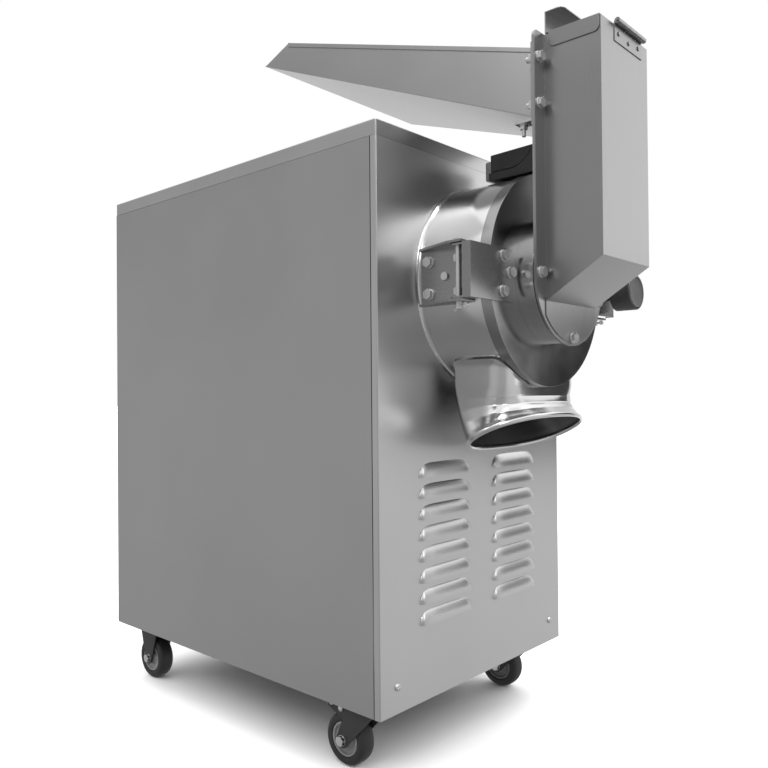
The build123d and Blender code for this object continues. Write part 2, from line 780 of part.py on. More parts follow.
def chute_bolt_places():
    """The four bolts that hold the chute on the boss, as x and z."""
    places = []
    for quarter in range(4):
        angle = quarter * math.pi / 2
        x = chute_bolt_circle * math.cos(angle)
        places.append((x, chamber_z + chute_bolt_circle * math.sin(angle)))
    return places


def chute_bolt_holes(y, depth):
    """Clearance holes for the chute's bolts, from y backwards."""
    for x, z in chute_bolt_places():
        rod((x, y, z), (0, 1, 0), hole_radius, depth, mode=Mode.SUBTRACT)


with BuildPart() as inlet_boss:
    with BuildSketch(axis_section):
        with BuildLine():
            Polyline(
                (boss_radius, door_front),
                (boss_radius, boss_front),
                (boss_lip, boss_front),
                (boss_lip, boss_front + plate),
                (boss_radius - boss_wall, boss_front + plate),
                (boss_radius - boss_wall, door_front),
                close=True,
            )
        make_face()
    revolve(axis=chamber_axis)
    chute_bolt_holes(boss_front - 1, plate + 2)
save(inlet_boss.part, "inlet_boss")


def inlet_opening(y, depth):
    """The opening through which the feed falls into the chamber."""
    block((-inlet_half, inlet_half), (y, y + depth), inlet_z, mode=Mode.SUBTRACT)


with BuildPart() as chute_gasket:
    with BuildSketch(chamber_face(boss_front)):
        Circle(boss_radius)
    extrude(amount=gasket_thickness)
    inlet_opening(plate_back - 1, gasket_thickness + 2)
    chute_bolt_holes(plate_back - 1, gasket_thickness + 2)
save(chute_gasket.part, "chute_gasket")


def door_bracket(side, slotted):
    """A channel bolted on the door whose ears sit between the fixed bracket's flanges."""
    face = (door_front - plate, door_front)
    wide = sorted((side * bracket_plate_x[0], side * bracket_plate_x[1]))
    block(wide, face, ear_z)
    leg = sorted((side * (bracket_plate_x[1] - plate), side * bracket_plate_x[1]))
    block(leg, (door_front, bracket_y[0] - 1), ear_z)
    if not slotted:
        ear = sorted((side * (pin_x - ear_radius), side * (pin_x + ear_radius)))
        for low in (ear_z[0], ear_z[1] - plate):
            block(ear, (door_front, pin_y), (low, low + plate))
            rod((side * pin_x, pin_y, low), (0, 0, 1), ear_radius, plate)
        start = (side * pin_x, pin_y, ear_z[0] - 1)
        height = ear_z[1] - ear_z[0] + 2
        rod(start, (0, 0, 1), pin_radius + running_gap, height, mode=Mode.SUBTRACT)
    if slotted:
        open_x = sorted((side * (pin_x - 12), side * (bracket_plate_x[1] + 1)))
        block(open_x, (face[0] - 1, bracket_y[0] + 1), latch_slot, mode=Mode.SUBTRACT)
        mouth_x = sorted((side * (pin_x + 1), side * (bracket_plate_x[1] + 1)))
        mouth_z = (swing_z - collar_radius - 0.6, swing_z + collar_radius + 0.6)
        block(mouth_x, (face[0] - 1, bracket_y[0] + 1), mouth_z, mode=Mode.SUBTRACT)
    for x, z in door_bolt_places:
        start = (side * x, face[0] - 1, z)
        rod(start, (0, 1, 0), hole_radius, plate + 2, mode=Mode.SUBTRACT)


with BuildPart() as door_hinge_bracket:
    door_bracket(-1, False)
save(door_hinge_bracket.part, "door_hinge_bracket")

with BuildPart() as door_latch_bracket:
    door_bracket(1, True)
save(door_latch_bracket.part, "door_latch_bracket")

with BuildPart() as door_bolts:
    for side in (-1, 1):
        for x, z in door_bolt_places:
            hex_bolt((side * x, door_front - plate, z), (0, -1, 0), plate + door_wall)
save(door_bolts.part, "door_bolts")

# Swing bolt: an eye on the latch pin, a threaded shank, and a knurled knob.
eye_radius = 10
swing_radius = 5
knob_radius = 28
knob_length = 35
collar_length = 10
collar_back = door_front - plate - gap
knob_back = collar_back - collar_length
with BuildPart() as swing_bolt:
    rod((pin_x, pin_y, swing_z - 6), (0, 0, 1), eye_radius, 12)
    rod((pin_x, pin_y, swing_z), (0, -1, 0), swing_radius, pin_y - knob_back + 20)
    bore = pin_radius + running_gap
    rod((pin_x, pin_y, swing_z - 7), (0, 0, 1), bore, 14, mode=Mode.SUBTRACT)
save(swing_bolt.part, "swing_bolt")

with BuildPart() as latch_knob:
    rod((pin_x, collar_back, swing_z), (0, -1, 0), collar_radius, collar_length)
    rod((pin_x, knob_back, swing_z), (0, -1, 0), knob_radius, knob_length)
    end_edges = latch_knob.edges().filter_by(GeomType.CIRCLE)
    chamfer(end_edges.filter_by(lambda edge: edge.radius > knob_radius - 1), 1.5)
    bore = swing_radius + running_gap
    depth = collar_length + 20 + gap
    rod((pin_x, collar_back + 1, swing_z), (0, -1, 0), bore, depth + 1, mode=Mode.SUBTRACT)
save(latch_knob.part, "latch_knob")

# ================================================================ feed chute and tray
chute_half = chute_width / 2
tray_front_half = chute_half - 2.5
tray_rear_half = 185
tray_rear_y = 289
tray_floor = (chute_top - 112, chute_top + 52.5)
tray_front_top = chute_top - 16
tray_top_rear = (tray_rear_y - 44, chute_top + 81)
tray_bolt_z = (chute_top - 96, chute_top - 34)
tray_window = (chute_top - 103, chute_top - 22)
chute_plate_half = boss_radius + 3.6


def tray_bolt_places():
    """The bolts that hold the tray's front flanges, as x and z."""
    return [(side * chute_bolt_circle, z) for side in (-1, 1) for z in tray_bolt_z]


def tray_bolt_holes(y, depth):
    """Clearance holes for the tray's bolts, from y backwards."""
    for x, z in tray_bolt_places():
        rod((x, y, z), (0, 1, 0), hole_radius, depth, mode=Mode.SUBTRACT)


with BuildPart() as chute_plate:
    with BuildSketch(chamber_face(plate_back)):
        Circle(chute_plate_half)
        rise = chute_rise + 2
        with Locations((0, rise / 2)):
            Rectangle(2 * chute_plate_half, rise)
    extrude(amount=plate)
    corners = chute_plate.edges().filter_by(Axis.Y).group_by(Axis.Z)[-1]
    fillet(corners, 10)
    inlet_opening(plate_front - 1, plate + 2)
    window = (-tray_front_half + 8, tray_front_half - 8)
    block(window, (plate_front - 1, plate_back + 1), tray_window, mode=Mode.SUBTRACT)
    chute_bolt_holes(plate_front - 1, plate + 2)
    tray_bolt_holes(plate_front - 1, plate + 2)
save(chute_plate.part, "chute_plate")

chute_section = Plane(origin=(-chute_half, front_y, 0), x_dir=(0, 1, 0), z_dir=(1, 0, 0))
slope = (chute_front_bottom - chute_back_bottom) / chute_depth
slope_wall = sheet * math.sqrt(1 + slope * slope)
apron_radius = boss_radius - 1.4
with BuildPart() as feed_chute:
    with BuildSketch(chute_section):
        Polygon(
            (chute_back, chute_top),
            (chute_front, chute_top),
            (chute_front, chute_front_bottom),
            (chute_back, chute_back_bottom),
            align=None,
        )
    extrude(amount=chute_width)
    with BuildSketch(chute_section.offset(sheet)):
        Polygon(
            (chute_back + 1, chute_top + 1),
            (chute_front + sheet, chute_top + 1),
            (chute_front + sheet, chute_front_bottom + slope_wall - slope * sheet),
            (chute_back + 1, chute_back_bottom + slope_wall - slope),
            align=None,
        )
    extrude(amount=chute_width - 2 * sheet, mode=Mode.SUBTRACT)
    with BuildSketch(chamber_face(plate_front)):
        flange_low = 4 - chute_back_drop
        flange_high = chute_rise
        with Locations((0, (flange_low + flange_high) / 2)):
            RectangleRounded(2 * chute_plate_half, flange_high - flange_low, 8)
        with Locations((0, -chute_back_drop / 2)):
            Rectangle(chute_width, chute_back_drop)
        with BuildSketch(mode=Mode.PRIVATE) as apron:
            Circle(apron_radius)
            with Locations((0, 150 - chute_back_drop)):
                Rectangle(300, 300, mode=Mode.SUBTRACT)
            with Locations((chute_half + 100, 0), (-chute_half - 100, 0)):
                Rectangle(200, 300, mode=Mode.SUBTRACT)
        add(apron.sketch)
        opening_low = slope_wall - chute_back_drop
        opening_high = flange_high + 1
        with Locations((0, (opening_low + opening_high) / 2)):
            Rectangle(chute_width - 2 * sheet, opening_high - opening_low, mode=Mode.SUBTRACT)
    extrude(amount=sheet)
    for x, z in chute_bolt_places()[:1] + chute_bolt_places()[2:]:
        rod((x, chute_back - 1, z), (0, 1, 0), hole_radius, sheet + 2, mode=Mode.SUBTRACT)
    tray_bolt_holes(chute_back - 1, sheet + 2)
save(feed_chute.part, "feed_chute")

with BuildPart() as chute_bolts:
    for index, (x, z) in enumerate(chute_bolt_places()):
        seat_y = plate_front if index == 1 else chute_back
        reach = boss_front + plate - seat_y
        hex_bolt((x, seat_y, z), (0, -1, 0), reach)
    for x, z in tray_bolt_places():
        nut_seat = plate_back + sheet
        hex_bolt((x, chute_back, z), (0, -1, 0), nut_seat - chute_back + 12)
        hex_nut((x, nut_seat, z), (0, 1, 0))
save(chute_bolts.part, "chute_bolts")

tray_front_y = plate_back
tray_run = math.hypot(tray_rear_half - tray_front_half, tray_rear_y - tray_front_y)
tray_rise = tray_floor[1] - tray_floor[0]
tray_length = tray_rear_y - tray_front_y
tray_lip = 6


def tray_wall(side):
    """One side of the tray: an upright sheet that leans outwards in plan, with a folded lip."""
    spread = tray_rear_half - tray_front_half
    wall = Plane(
        origin=(side * tray_front_half, front_y + tray_front_y, 0),
        x_dir=(side * spread, tray_length, 0),
        z_dir=(tray_length, -side * spread, 0),
    )
    rear_share = (tray_top_rear[0] - tray_front_y) / tray_length
    up = wall.y_dir.Z
    lower = [(0, up * tray_floor[0]), (tray_run, up * tray_floor[1])]
    upper = [(tray_run * rear_share, up * tray_top_rear[1]), (0, up * tray_front_top)]
    with BuildSketch(wall) as sheet_outline:
        Polygon(*lower, *upper, align=None)
    extrude(sheet_outline.sketch, amount=-side * sheet)
    hem = [(x, z - up * tray_lip) for x, z in reversed(upper)]
    with BuildSketch(wall) as lip_outline:
        Polygon(*upper, *hem, align=None)
    extrude(lip_outline.sketch, amount=side * sheet)


with BuildPart() as feed_tray:
    lean = Plane(
        origin=(0, front_y + tray_front_y, tray_floor[0]),
        x_dir=(1, 0, 0),
        z_dir=(0, -tray_rise, tray_length),
    )
    with BuildSketch(lean):
        floor_run = math.hypot(tray_length, tray_rise)
        Polygon(
            (-tray_front_half, 0),
            (tray_front_half, 0),
            (tray_rear_half, floor_run),
            (-tray_rear_half, floor_run),
            align=None,
        )
    extrude(amount=sheet)
    for side in (-1, 1):
        tray_wall(side)
    for side in (-1, 1):
        flange = sorted((side * (tray_front_half - 2), side * chute_plate_half))
        block(flange, (plate_back, plate_back + sheet), (tray_floor[0] - 14, tray_front_top))
    low = (tray_floor[0] - 14, tray_floor[0] + sheet)
    block((-tray_front_half, tray_front_half), (plate_back, plate_back + sheet), low)
    block((-300, 300), (plate_front, plate_back), (0, 3000), mode=Mode.SUBTRACT)
    tray_bolt_holes(plate_back - 1, sheet + 2)
save(feed_tray.part, "feed_tray")

# Chute lid with side flanges, a rear upstand folded forward as a grip, and its hinge in front.
lid_half = chute_half + gap + sheet
lid_z = (chute_top + gap, chute_top + gap + sheet)
lid_back = chute_back - 2.5
grip_height = 28
grip_depth = 27
lid_front = chute_front + 0.8
lid_flange_y = (chute_front + 1.5, lid_back - 5)
lid_pin_radius = 1.8
barrel_z = lid_z[1] + 3.0
leaf = 1.2
leaf_x = (-33, 51)
leaf_drop = 20
knuckle_count = 5
knuckle_gap = 0.3
knuckle = (leaf_x[1] - leaf_x[0]) / knuckle_count

with BuildPart() as chute_lid:
    block((-lid_half, lid_half), (lid_front, lid_back), lid_z)
    for side in (-1, 1):
        edge = sorted((side * (lid_half - sheet), side * lid_half))
        block(edge, lid_flange_y, (lid_z[0] - 20, lid_z[1]))
    fillet(chute_lid.edges().filter_by(Axis.X).group_by(Axis.Z)[0], 8)
    grip_top = lid_z[1] + grip_height
    block((-lid_half, lid_half), (lid_back - sheet, lid_back), (lid_z[0], grip_top))
    grip = (lid_back - grip_depth, lid_back)
    block((-lid_half, lid_half), grip, (grip_top - sheet, grip_top))
    front_corners = chute_lid.edges().filter_by(Axis.Z).group_by(Axis.Z)[-1].sort_by(Axis.Y)[:2]
    fillet(front_corners, 9)
save(chute_lid.part, "chute_lid")


def knuckles(first):
    """Every second knuckle of the lid's hinge, from the first one."""
    for index in range(first, knuckle_count, 2):
        start = leaf_x[0] + index * knuckle + knuckle_gap / 2
        length = knuckle - knuckle_gap
        rod((start, barrel_y, barrel_z), (1, 0, 0), barrel_radius, length)


def web_pieces(first, y, z):
    """The strips that join a leaf to its knuckles."""
    for index in range(first, knuckle_count, 2):
        start = leaf_x[0] + index * knuckle + knuckle_gap / 2
        block((start, start + knuckle - knuckle_gap), y, z)


def hinge_bore():
    """The pin's bore through all the knuckles."""
    start = (leaf_x[0] - 1, barrel_y, barrel_z)
    length = leaf_x[1] - leaf_x[0] + 2
    rod(start, (1, 0, 0), lid_pin_radius + running_gap, length, mode=Mode.SUBTRACT)


with BuildPart() as lid_hinge_leaf:
    top = chute_top - 1
    block(leaf_x, (chute_front - leaf, chute_front), (top - leaf_drop, top))
    web_pieces(0, (chute_front - leaf, chute_front), (top - 1, barrel_z))
    knuckles(0)
    rivet_places = [leaf_x[0] + 12 + index * 30 for index in range(3)]
    for index, x in enumerate(rivet_places):
        drop = 11 if index == 1 else 8
        rod((x, chute_front - leaf, top - drop), (0, -1, 0), 3, 1.4)
    hinge_bore()
    start = (leaf_x[0] - 1.5, barrel_y, barrel_z)
    rod(start, (1, 0, 0), lid_pin_radius, leaf_x[1] - leaf_x[0] + 3)
save(lid_hinge_leaf.part, "lid_hinge_leaf")

with BuildPart() as lid_hinge_strap:
    block(leaf_x, (chute_front + 1.2, chute_front + 22), (lid_z[1], lid_z[1] + leaf))
    web_pieces(1, (barrel_y, chute_front + 2), (lid_z[1], lid_z[1] + leaf))
    knuckles(1)
    hinge_bore()
save(lid_hinge_strap.part, "lid_hinge_strap")

# ================================================================ casters
wheel_diameter = 75
wheel_width = 28
hub_radius = 27
hub_recess = 3
trail = 35
caster_plate_thickness = 3.5
fork_wall = 2.5
fork_inner = wheel_width / 2 + 1.5
fork_reach = fork_inner + fork_wall
axle_radius = 4
axle_boss = 11
axle_nut = 5
axle_z = wheel_diameter / 2
crown_z = (base_z - 11.5, base_z - 8.5)
crown_length = 50
crown_radius = 24
king_pin_radius = 6
king_pin_foot = (9, 3)
brake_pin_y = 54
brake_pin_z = base_z - 10
brake_pin_radius = 3
pedal_length = 24

with BuildPart() as caster_plates:
    for x, y in caster_places.values():
        x_reach = (x - caster_plate_size[0] / 2, x + caster_plate_size[0] / 2)
        y_reach = (y - caster_plate_size[1] / 2, y + caster_plate_size[1] / 2)
        block(x_reach, y_reach, (base_z - caster_plate_thickness, base_z))
        rod((x, y, base_z), (0, 0, -1), king_pin_radius, base_z - crown_z[0] + gap + 1)
        rod((x, y, crown_z[0] - gap), (0, 0, -1), king_pin_foot[0], king_pin_foot[1])
    for x, y in caster_bolt_places():
        rod((x, y, base_z + 1), (0, 0, -1), hole_radius, 10, mode=Mode.SUBTRACT)
save(caster_plates.part, "caster_plates")

with BuildPart() as caster_bolts:
    for x, y in caster_bolt_places():
        reach = pad_thickness + caster_plate_thickness
        hex_bolt((x, y, base_z + pad_thickness), (0, 0, 1), reach)
save(caster_bolts.part, "caster_bolts")


def fork_leg(x, y, axle_offset, braked):
    """One leg of a fork: a plate that narrows from the crown to the axle."""
    side_view = Plane(origin=(x, front_y + y, 0), x_dir=(0, 1, 0), z_dir=(1, 0, 0))
    with BuildSketch(side_view) as leg:
        with Locations((0, (crown_z[0] + crown_z[1]) / 2)):
            Rectangle(crown_length, crown_z[1] - crown_z[0])
        with Locations((axle_offset, axle_z)):
            Circle(axle_boss)
        make_hull()
        if braked:
            Polygon(
                (0, crown_z[1]),
                (brake_pin_y + 6, brake_pin_z + 6),
                (brake_pin_y + 9, brake_pin_z - 6),
                (axle_offset - 8, crown_z[0] - 20),
                align=None,
            )
    extrude(leg.sketch, amount=fork_wall)


def caster_fork(x, y, axle_offset, braked):
    """A fork with its crown, axle and axle nuts, and the brake's pin on a braked one."""
    fork_leg(x - fork_reach, y, axle_offset, braked)
    fork_leg(x + fork_inner, y, axle_offset, braked)
    crown_y = (y - crown_length / 2, y + crown_length / 2)
    block((x - fork_reach, x + fork_reach), crown_y, crown_z)
    crown_top = base_z - caster_plate_thickness - gap
    rod((x, y, crown_z[1]), (0, 0, 1), crown_radius, crown_top - crown_z[1])
    bore = king_pin_radius + running_gap
    rod((x, y, crown_z[0] - 1), (0, 0, 1), bore, 20, mode=Mode.SUBTRACT)
    rod((x - fork_reach, y + axle_offset, axle_z), (1, 0, 0), axle_radius, 2 * fork_reach)
    for side in (-1, 1):
        outside = Plane(
            origin=(x + side * fork_reach, front_y + y + axle_offset, axle_z),
            z_dir=(side, 0, 0),
        )
        with BuildSketch(outside) as nut:
            RegularPolygon(bolt_head / 2, 6, major_radius=False)
        extrude(nut.sketch, amount=axle_nut)
    if braked:
        start = (x - fork_reach - 1.5, y + brake_pin_y, brake_pin_z)
        rod(start, (1, 0, 0), brake_pin_radius, 2 * fork_reach + 3)
        start = (x - fork_reach - 1.5, y + axle_offset, crown_z[0] - 3)
        rod(start, (1, 0, 0), brake_pin_radius, 2 * fork_reach + 3)


with BuildPart() as rear_forks:
    for caster_name in ("rear_left", "rear_right"):
        caster_fork(*caster_places[caster_name], 0, False)
save(rear_forks.part, "caster_rear_forks")

for caster_name in ("front_left", "front_right"):
    x, y = caster_places[caster_name]
    with BuildPart() as fork:
        caster_fork(x, y, trail, True)
    save(fork.part, f"caster_{caster_name}_fork")

    with BuildPart() as brake:
        half = fork_inner - 1
        back = y + brake_pin_y
        rod((x - half, back, brake_pin_z), (1, 0, 0), 5, 2 * half)
        tread = (brake_pin_z + 1, brake_pin_z + 4)
        block((x - half, x + half), (back, back + pedal_length), tread)
        bore = brake_pin_radius + running_gap
        rod((x - half - 1, back, brake_pin_z), (1, 0, 0), bore, 2 * half + 2, mode=Mode.SUBTRACT)
    save(brake.part, f"caster_{caster_name}_brake")

for caster_name, (x, y) in caster_places.items():
    axle_y = y + trail if caster_name.startswith("front") else y
    with BuildPart() as wheel:
        start = (x - wheel_width / 2, axle_y, axle_z)
        rod(start, (1, 0, 0), wheel_diameter / 2, wheel_width)
        fillet(wheel.edges().filter_by(GeomType.CIRCLE), 7)
        for side in (-1, 1):
            face = Plane(
                origin=(x + side * (wheel_width / 2 - hub_recess), front_y + axle_y, axle_z),
                z_dir=(side, 0, 0),
            )
            with BuildSketch(face):
                Circle(hub_radius - 3)
                Circle(axle_boss, mode=Mode.SUBTRACT)
            extrude(amount=10, mode=Mode.SUBTRACT)
        bore = axle_radius + running_gap
        start = (x - wheel_width, axle_y, axle_z)
        rod(start, (1, 0, 0), bore, 2 * wheel_width, mode=Mode.SUBTRACT)
    save(wheel.part, f"caster_{caster_name}_wheel")
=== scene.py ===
"""Detailed visual model of a hammer mill on a wheeled stainless cabinet.

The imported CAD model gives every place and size. Each class below builds or dresses one
sub-assembly, and main() puts them together in order.
"""

import json
import logging
import math
from dataclasses import astuple, dataclass, field
from enum import Enum
from typing import Callable, Optional

import bpy
from mathutils import Matrix, Vector

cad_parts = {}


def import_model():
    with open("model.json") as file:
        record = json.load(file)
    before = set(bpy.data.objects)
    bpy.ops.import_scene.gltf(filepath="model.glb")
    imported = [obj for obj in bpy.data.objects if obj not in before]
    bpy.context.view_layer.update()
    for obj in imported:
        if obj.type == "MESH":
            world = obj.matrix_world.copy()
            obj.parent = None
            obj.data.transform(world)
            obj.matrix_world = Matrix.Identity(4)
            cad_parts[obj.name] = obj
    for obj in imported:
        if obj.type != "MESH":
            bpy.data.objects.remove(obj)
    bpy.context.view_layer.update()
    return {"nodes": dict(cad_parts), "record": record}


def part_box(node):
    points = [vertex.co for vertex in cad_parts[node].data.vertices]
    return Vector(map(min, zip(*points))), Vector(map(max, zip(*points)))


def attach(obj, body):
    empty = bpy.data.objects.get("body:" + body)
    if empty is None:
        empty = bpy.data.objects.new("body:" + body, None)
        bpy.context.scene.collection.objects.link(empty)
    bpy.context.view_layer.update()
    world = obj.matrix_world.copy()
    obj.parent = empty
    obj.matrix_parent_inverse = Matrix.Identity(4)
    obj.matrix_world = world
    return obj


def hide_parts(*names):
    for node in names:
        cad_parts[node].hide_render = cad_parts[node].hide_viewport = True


log = logging.getLogger("hammer_mill")
MM = 0.001
SMOOTH_ANGLE = math.radians(38)

CASTER_PLACES = ("front_left", "front_right", "rear_left", "rear_right")
Colour = tuple[float, float, float]
Point = tuple[float, float, float]


class Grain(Enum):
    """The direction that a sheet was brushed along, as the noise's stretch on X, Y and Z."""

    ALONG_X = (1.0, 60.0, 60.0)
    ALONG_Y = (60.0, 1.0, 60.0)
    ALONG_Z = (60.0, 60.0, 1.0)


# ------------------------------------------------------------------ finishes
class Graph:
    """A short way to write a material's node graph."""

    def __init__(self, name: str) -> None:
        """Starts a material with one Principled shader.

        Args:
            name: The material's name.
        """
        self.material = bpy.data.materials.new(name)
        self.material.use_nodes = True
        self.tree = self.material.node_tree
        self.shader = self.tree.nodes["Principled BSDF"]
        self.place = self.node("ShaderNodeTexCoord").outputs["Object"]

    def node(self, kind: str, **settings) -> bpy.types.Node:
        """Adds a node and sets its properties and its inputs by name."""
        made = self.tree.nodes.new(kind)
        for key, value in settings.items():
            label = key.replace("_", " ")
            if label in made.inputs:
                made.inputs[label].default_value = value
            else:
                setattr(made, key, value)
        return made

    def link(self, output: bpy.types.NodeSocket, target: bpy.types.NodeSocket) -> None:
        """Joins an output to an input."""
        self.tree.links.new(output, target)

    def noise(self, stretch: Point, scale: float, detail: float = 3.0) -> bpy.types.NodeSocket:
        """Adds noise on stretched object coordinates.

        Args:
            stretch: The scale along X, Y and Z.
            scale: The noise's scale.
            detail: The noise's detail.

        Returns:
            The noise's factor.
        """
        mapping = self.node("ShaderNodeMapping", Scale=stretch)
        self.link(self.place, mapping.inputs["Vector"])
        noise = self.node("ShaderNodeTexNoise", Scale=scale, Detail=detail)
        self.link(mapping.outputs["Vector"], noise.inputs["Vector"])
        return noise.outputs["Fac"]

    def spread(self, factor: bpy.types.NodeSocket, low: float, high: float) -> bpy.types.NodeSocket:
        """Maps a noise's middle range to low to high."""
        ramp = self.node("ShaderNodeMapRange", From_Min=0.3, From_Max=0.7, To_Min=low, To_Max=high)
        self.link(factor, ramp.inputs["Value"])
        return ramp.outputs["Result"]

    def tint(self, factor: bpy.types.NodeSocket, dark: Colour, light: Colour) -> None:
        """Colours the shader between two tones by a factor."""
        mix = self.node("ShaderNodeMix", data_type="RGBA")
        mix.inputs[6].default_value = (*dark, 1.0)
        mix.inputs[7].default_value = (*light, 1.0)
        self.link(factor, mix.inputs["Factor"])
        self.link(mix.outputs[2], self.shader.inputs["Base Color"])

    def rough(self, factor: bpy.types.NodeSocket, low: float, high: float) -> None:
        """Varies the roughness between two values by a factor."""
        self.link(self.spread(factor, low, high), self.shader.inputs["Roughness"])

    def bump(self, heights: list[tuple[bpy.types.NodeSocket, float]]) -> None:
        """Adds bumps, each a height socket and its depth in metres."""
        normal: Optional[bpy.types.NodeSocket] = None
        for height, depth in heights:
            bump = self.node("ShaderNodeBump", Strength=1.0, Distance=depth)
            self.link(height, bump.inputs["Height"])
            if normal is not None:
                self.link(normal, bump.inputs["Normal"])
            normal = bump.outputs["Normal"]
        if normal is not None:
            self.link(normal, self.shader.inputs["Normal"])


def shade(colour: Colour, share: float) -> Colour:
    """Darkens or lightens a colour by a share."""
    return (colour[0] * share, colour[1] * share, colour[2] * share)


@dataclass(frozen=True)
class BrushedSteel:
    """Stainless sheet with straight brushed grain and faint handling marks."""

    name: str
    colour: Colour
    grain: Grain
    roughness: float = 0.3
    depth: float = 0.000007

    def build(self) -> bpy.types.Material:
        """Makes the material."""
        graph = Graph(self.name)
        graph.shader.inputs["Metallic"].default_value = 1.0
        grain = graph.noise(self.grain.value, 18.0, 6.0)
        smudge = graph.noise((1.0, 1.0, 1.0), 4.0, 3.0)
        graph.tint(graph.spread(smudge, 0.2, 0.8), shade(self.colour, 0.93), shade(self.colour, 1.05))
        rough = graph.node("ShaderNodeMath", operation="ADD")
        graph.link(graph.spread(grain, self.roughness - 0.025, self.roughness + 0.025), rough.inputs[0])
        graph.link(graph.spread(smudge, -0.03, 0.04), rough.inputs[1])
        graph.link(rough.outputs[0], graph.shader.inputs["Roughness"])
        graph.bump([(grain, self.depth)])
        return graph.material


@dataclass(frozen=True)
class PolishedSteel:
    """Hand-polished stainless steel, bright and slightly wavy, with fine swirl marks."""

    name: str
    colour: Colour
    roughness: float = 0.12
    wave: float = 0.0006

    def build(self) -> bpy.types.Material:
        """Makes the material."""
        graph = Graph(self.name)
        graph.shader.inputs["Metallic"].default_value = 1.0
        swell = graph.noise((1.0, 1.0, 1.0), 9.0, 1.0)
        swirl = graph.noise((1.0, 1.0, 1.0), 260.0, 4.0)
        film = graph.noise((1.0, 1.0, 1.0), 14.0, 5.0)
        graph.tint(graph.spread(film, 0.1, 0.9), shade(self.colour, 0.9), shade(self.colour, 1.04))
        graph.rough(film, self.roughness - 0.04, self.roughness + 0.07)
        graph.bump([(swell, self.wave), (swirl, 0.00001)])
        return graph.material


@dataclass(frozen=True)
class MachinedSteel:
    """Turned, plated or rolled steel with a fine random grain."""

    name: str
    colour: Colour
    roughness: float = 0.28
    grain: float = 300.0
    depth: float = 0.00001

    def build(self) -> bpy.types.Material:
        """Makes the material."""
        graph = Graph(self.name)
        graph.shader.inputs["Metallic"].default_value = 1.0
        fine = graph.noise((1.0, 1.0, 1.0), self.grain, 4.0)
        broad = graph.noise((1.0, 1.0, 1.0), 30.0, 3.0)
        graph.tint(graph.spread(broad, 0.1, 0.9), shade(self.colour, 0.9), shade(self.colour, 1.06))
        graph.rough(fine, self.roughness - 0.05, self.roughness + 0.06)
        graph.bump([(fine, self.depth)])
        return graph.material


@dataclass(frozen=True)
class Coating:
    """Paint, plastic or rubber: a non-metal with a fine surface texture and a little wear."""

    name: str
    colour: Colour
    roughness: float = 0.5
    texture: float = 500.0
    depth: float = 0.00005
    coat: float = 0.0

    def build(self) -> bpy.types.Material:
        """Makes the material."""
        graph = Graph(self.name)
        fine = graph.noise((1.0, 1.0, 1.0), self.texture, 3.0)
        dust = graph.noise((1.0, 1.0, 1.0), 22.0, 5.0)
        graph.tint(graph.spread(dust, 0.0, 1.0), shade(self.colour, 0.8), shade(self.colour, 1.35))
        graph.rough(dust, self.roughness - 0.07, self.roughness + 0.08)
        graph.bump([(fine, self.depth)])
        graph.shader.inputs["Coat Weight"].default_value = self.coat
        return graph.material


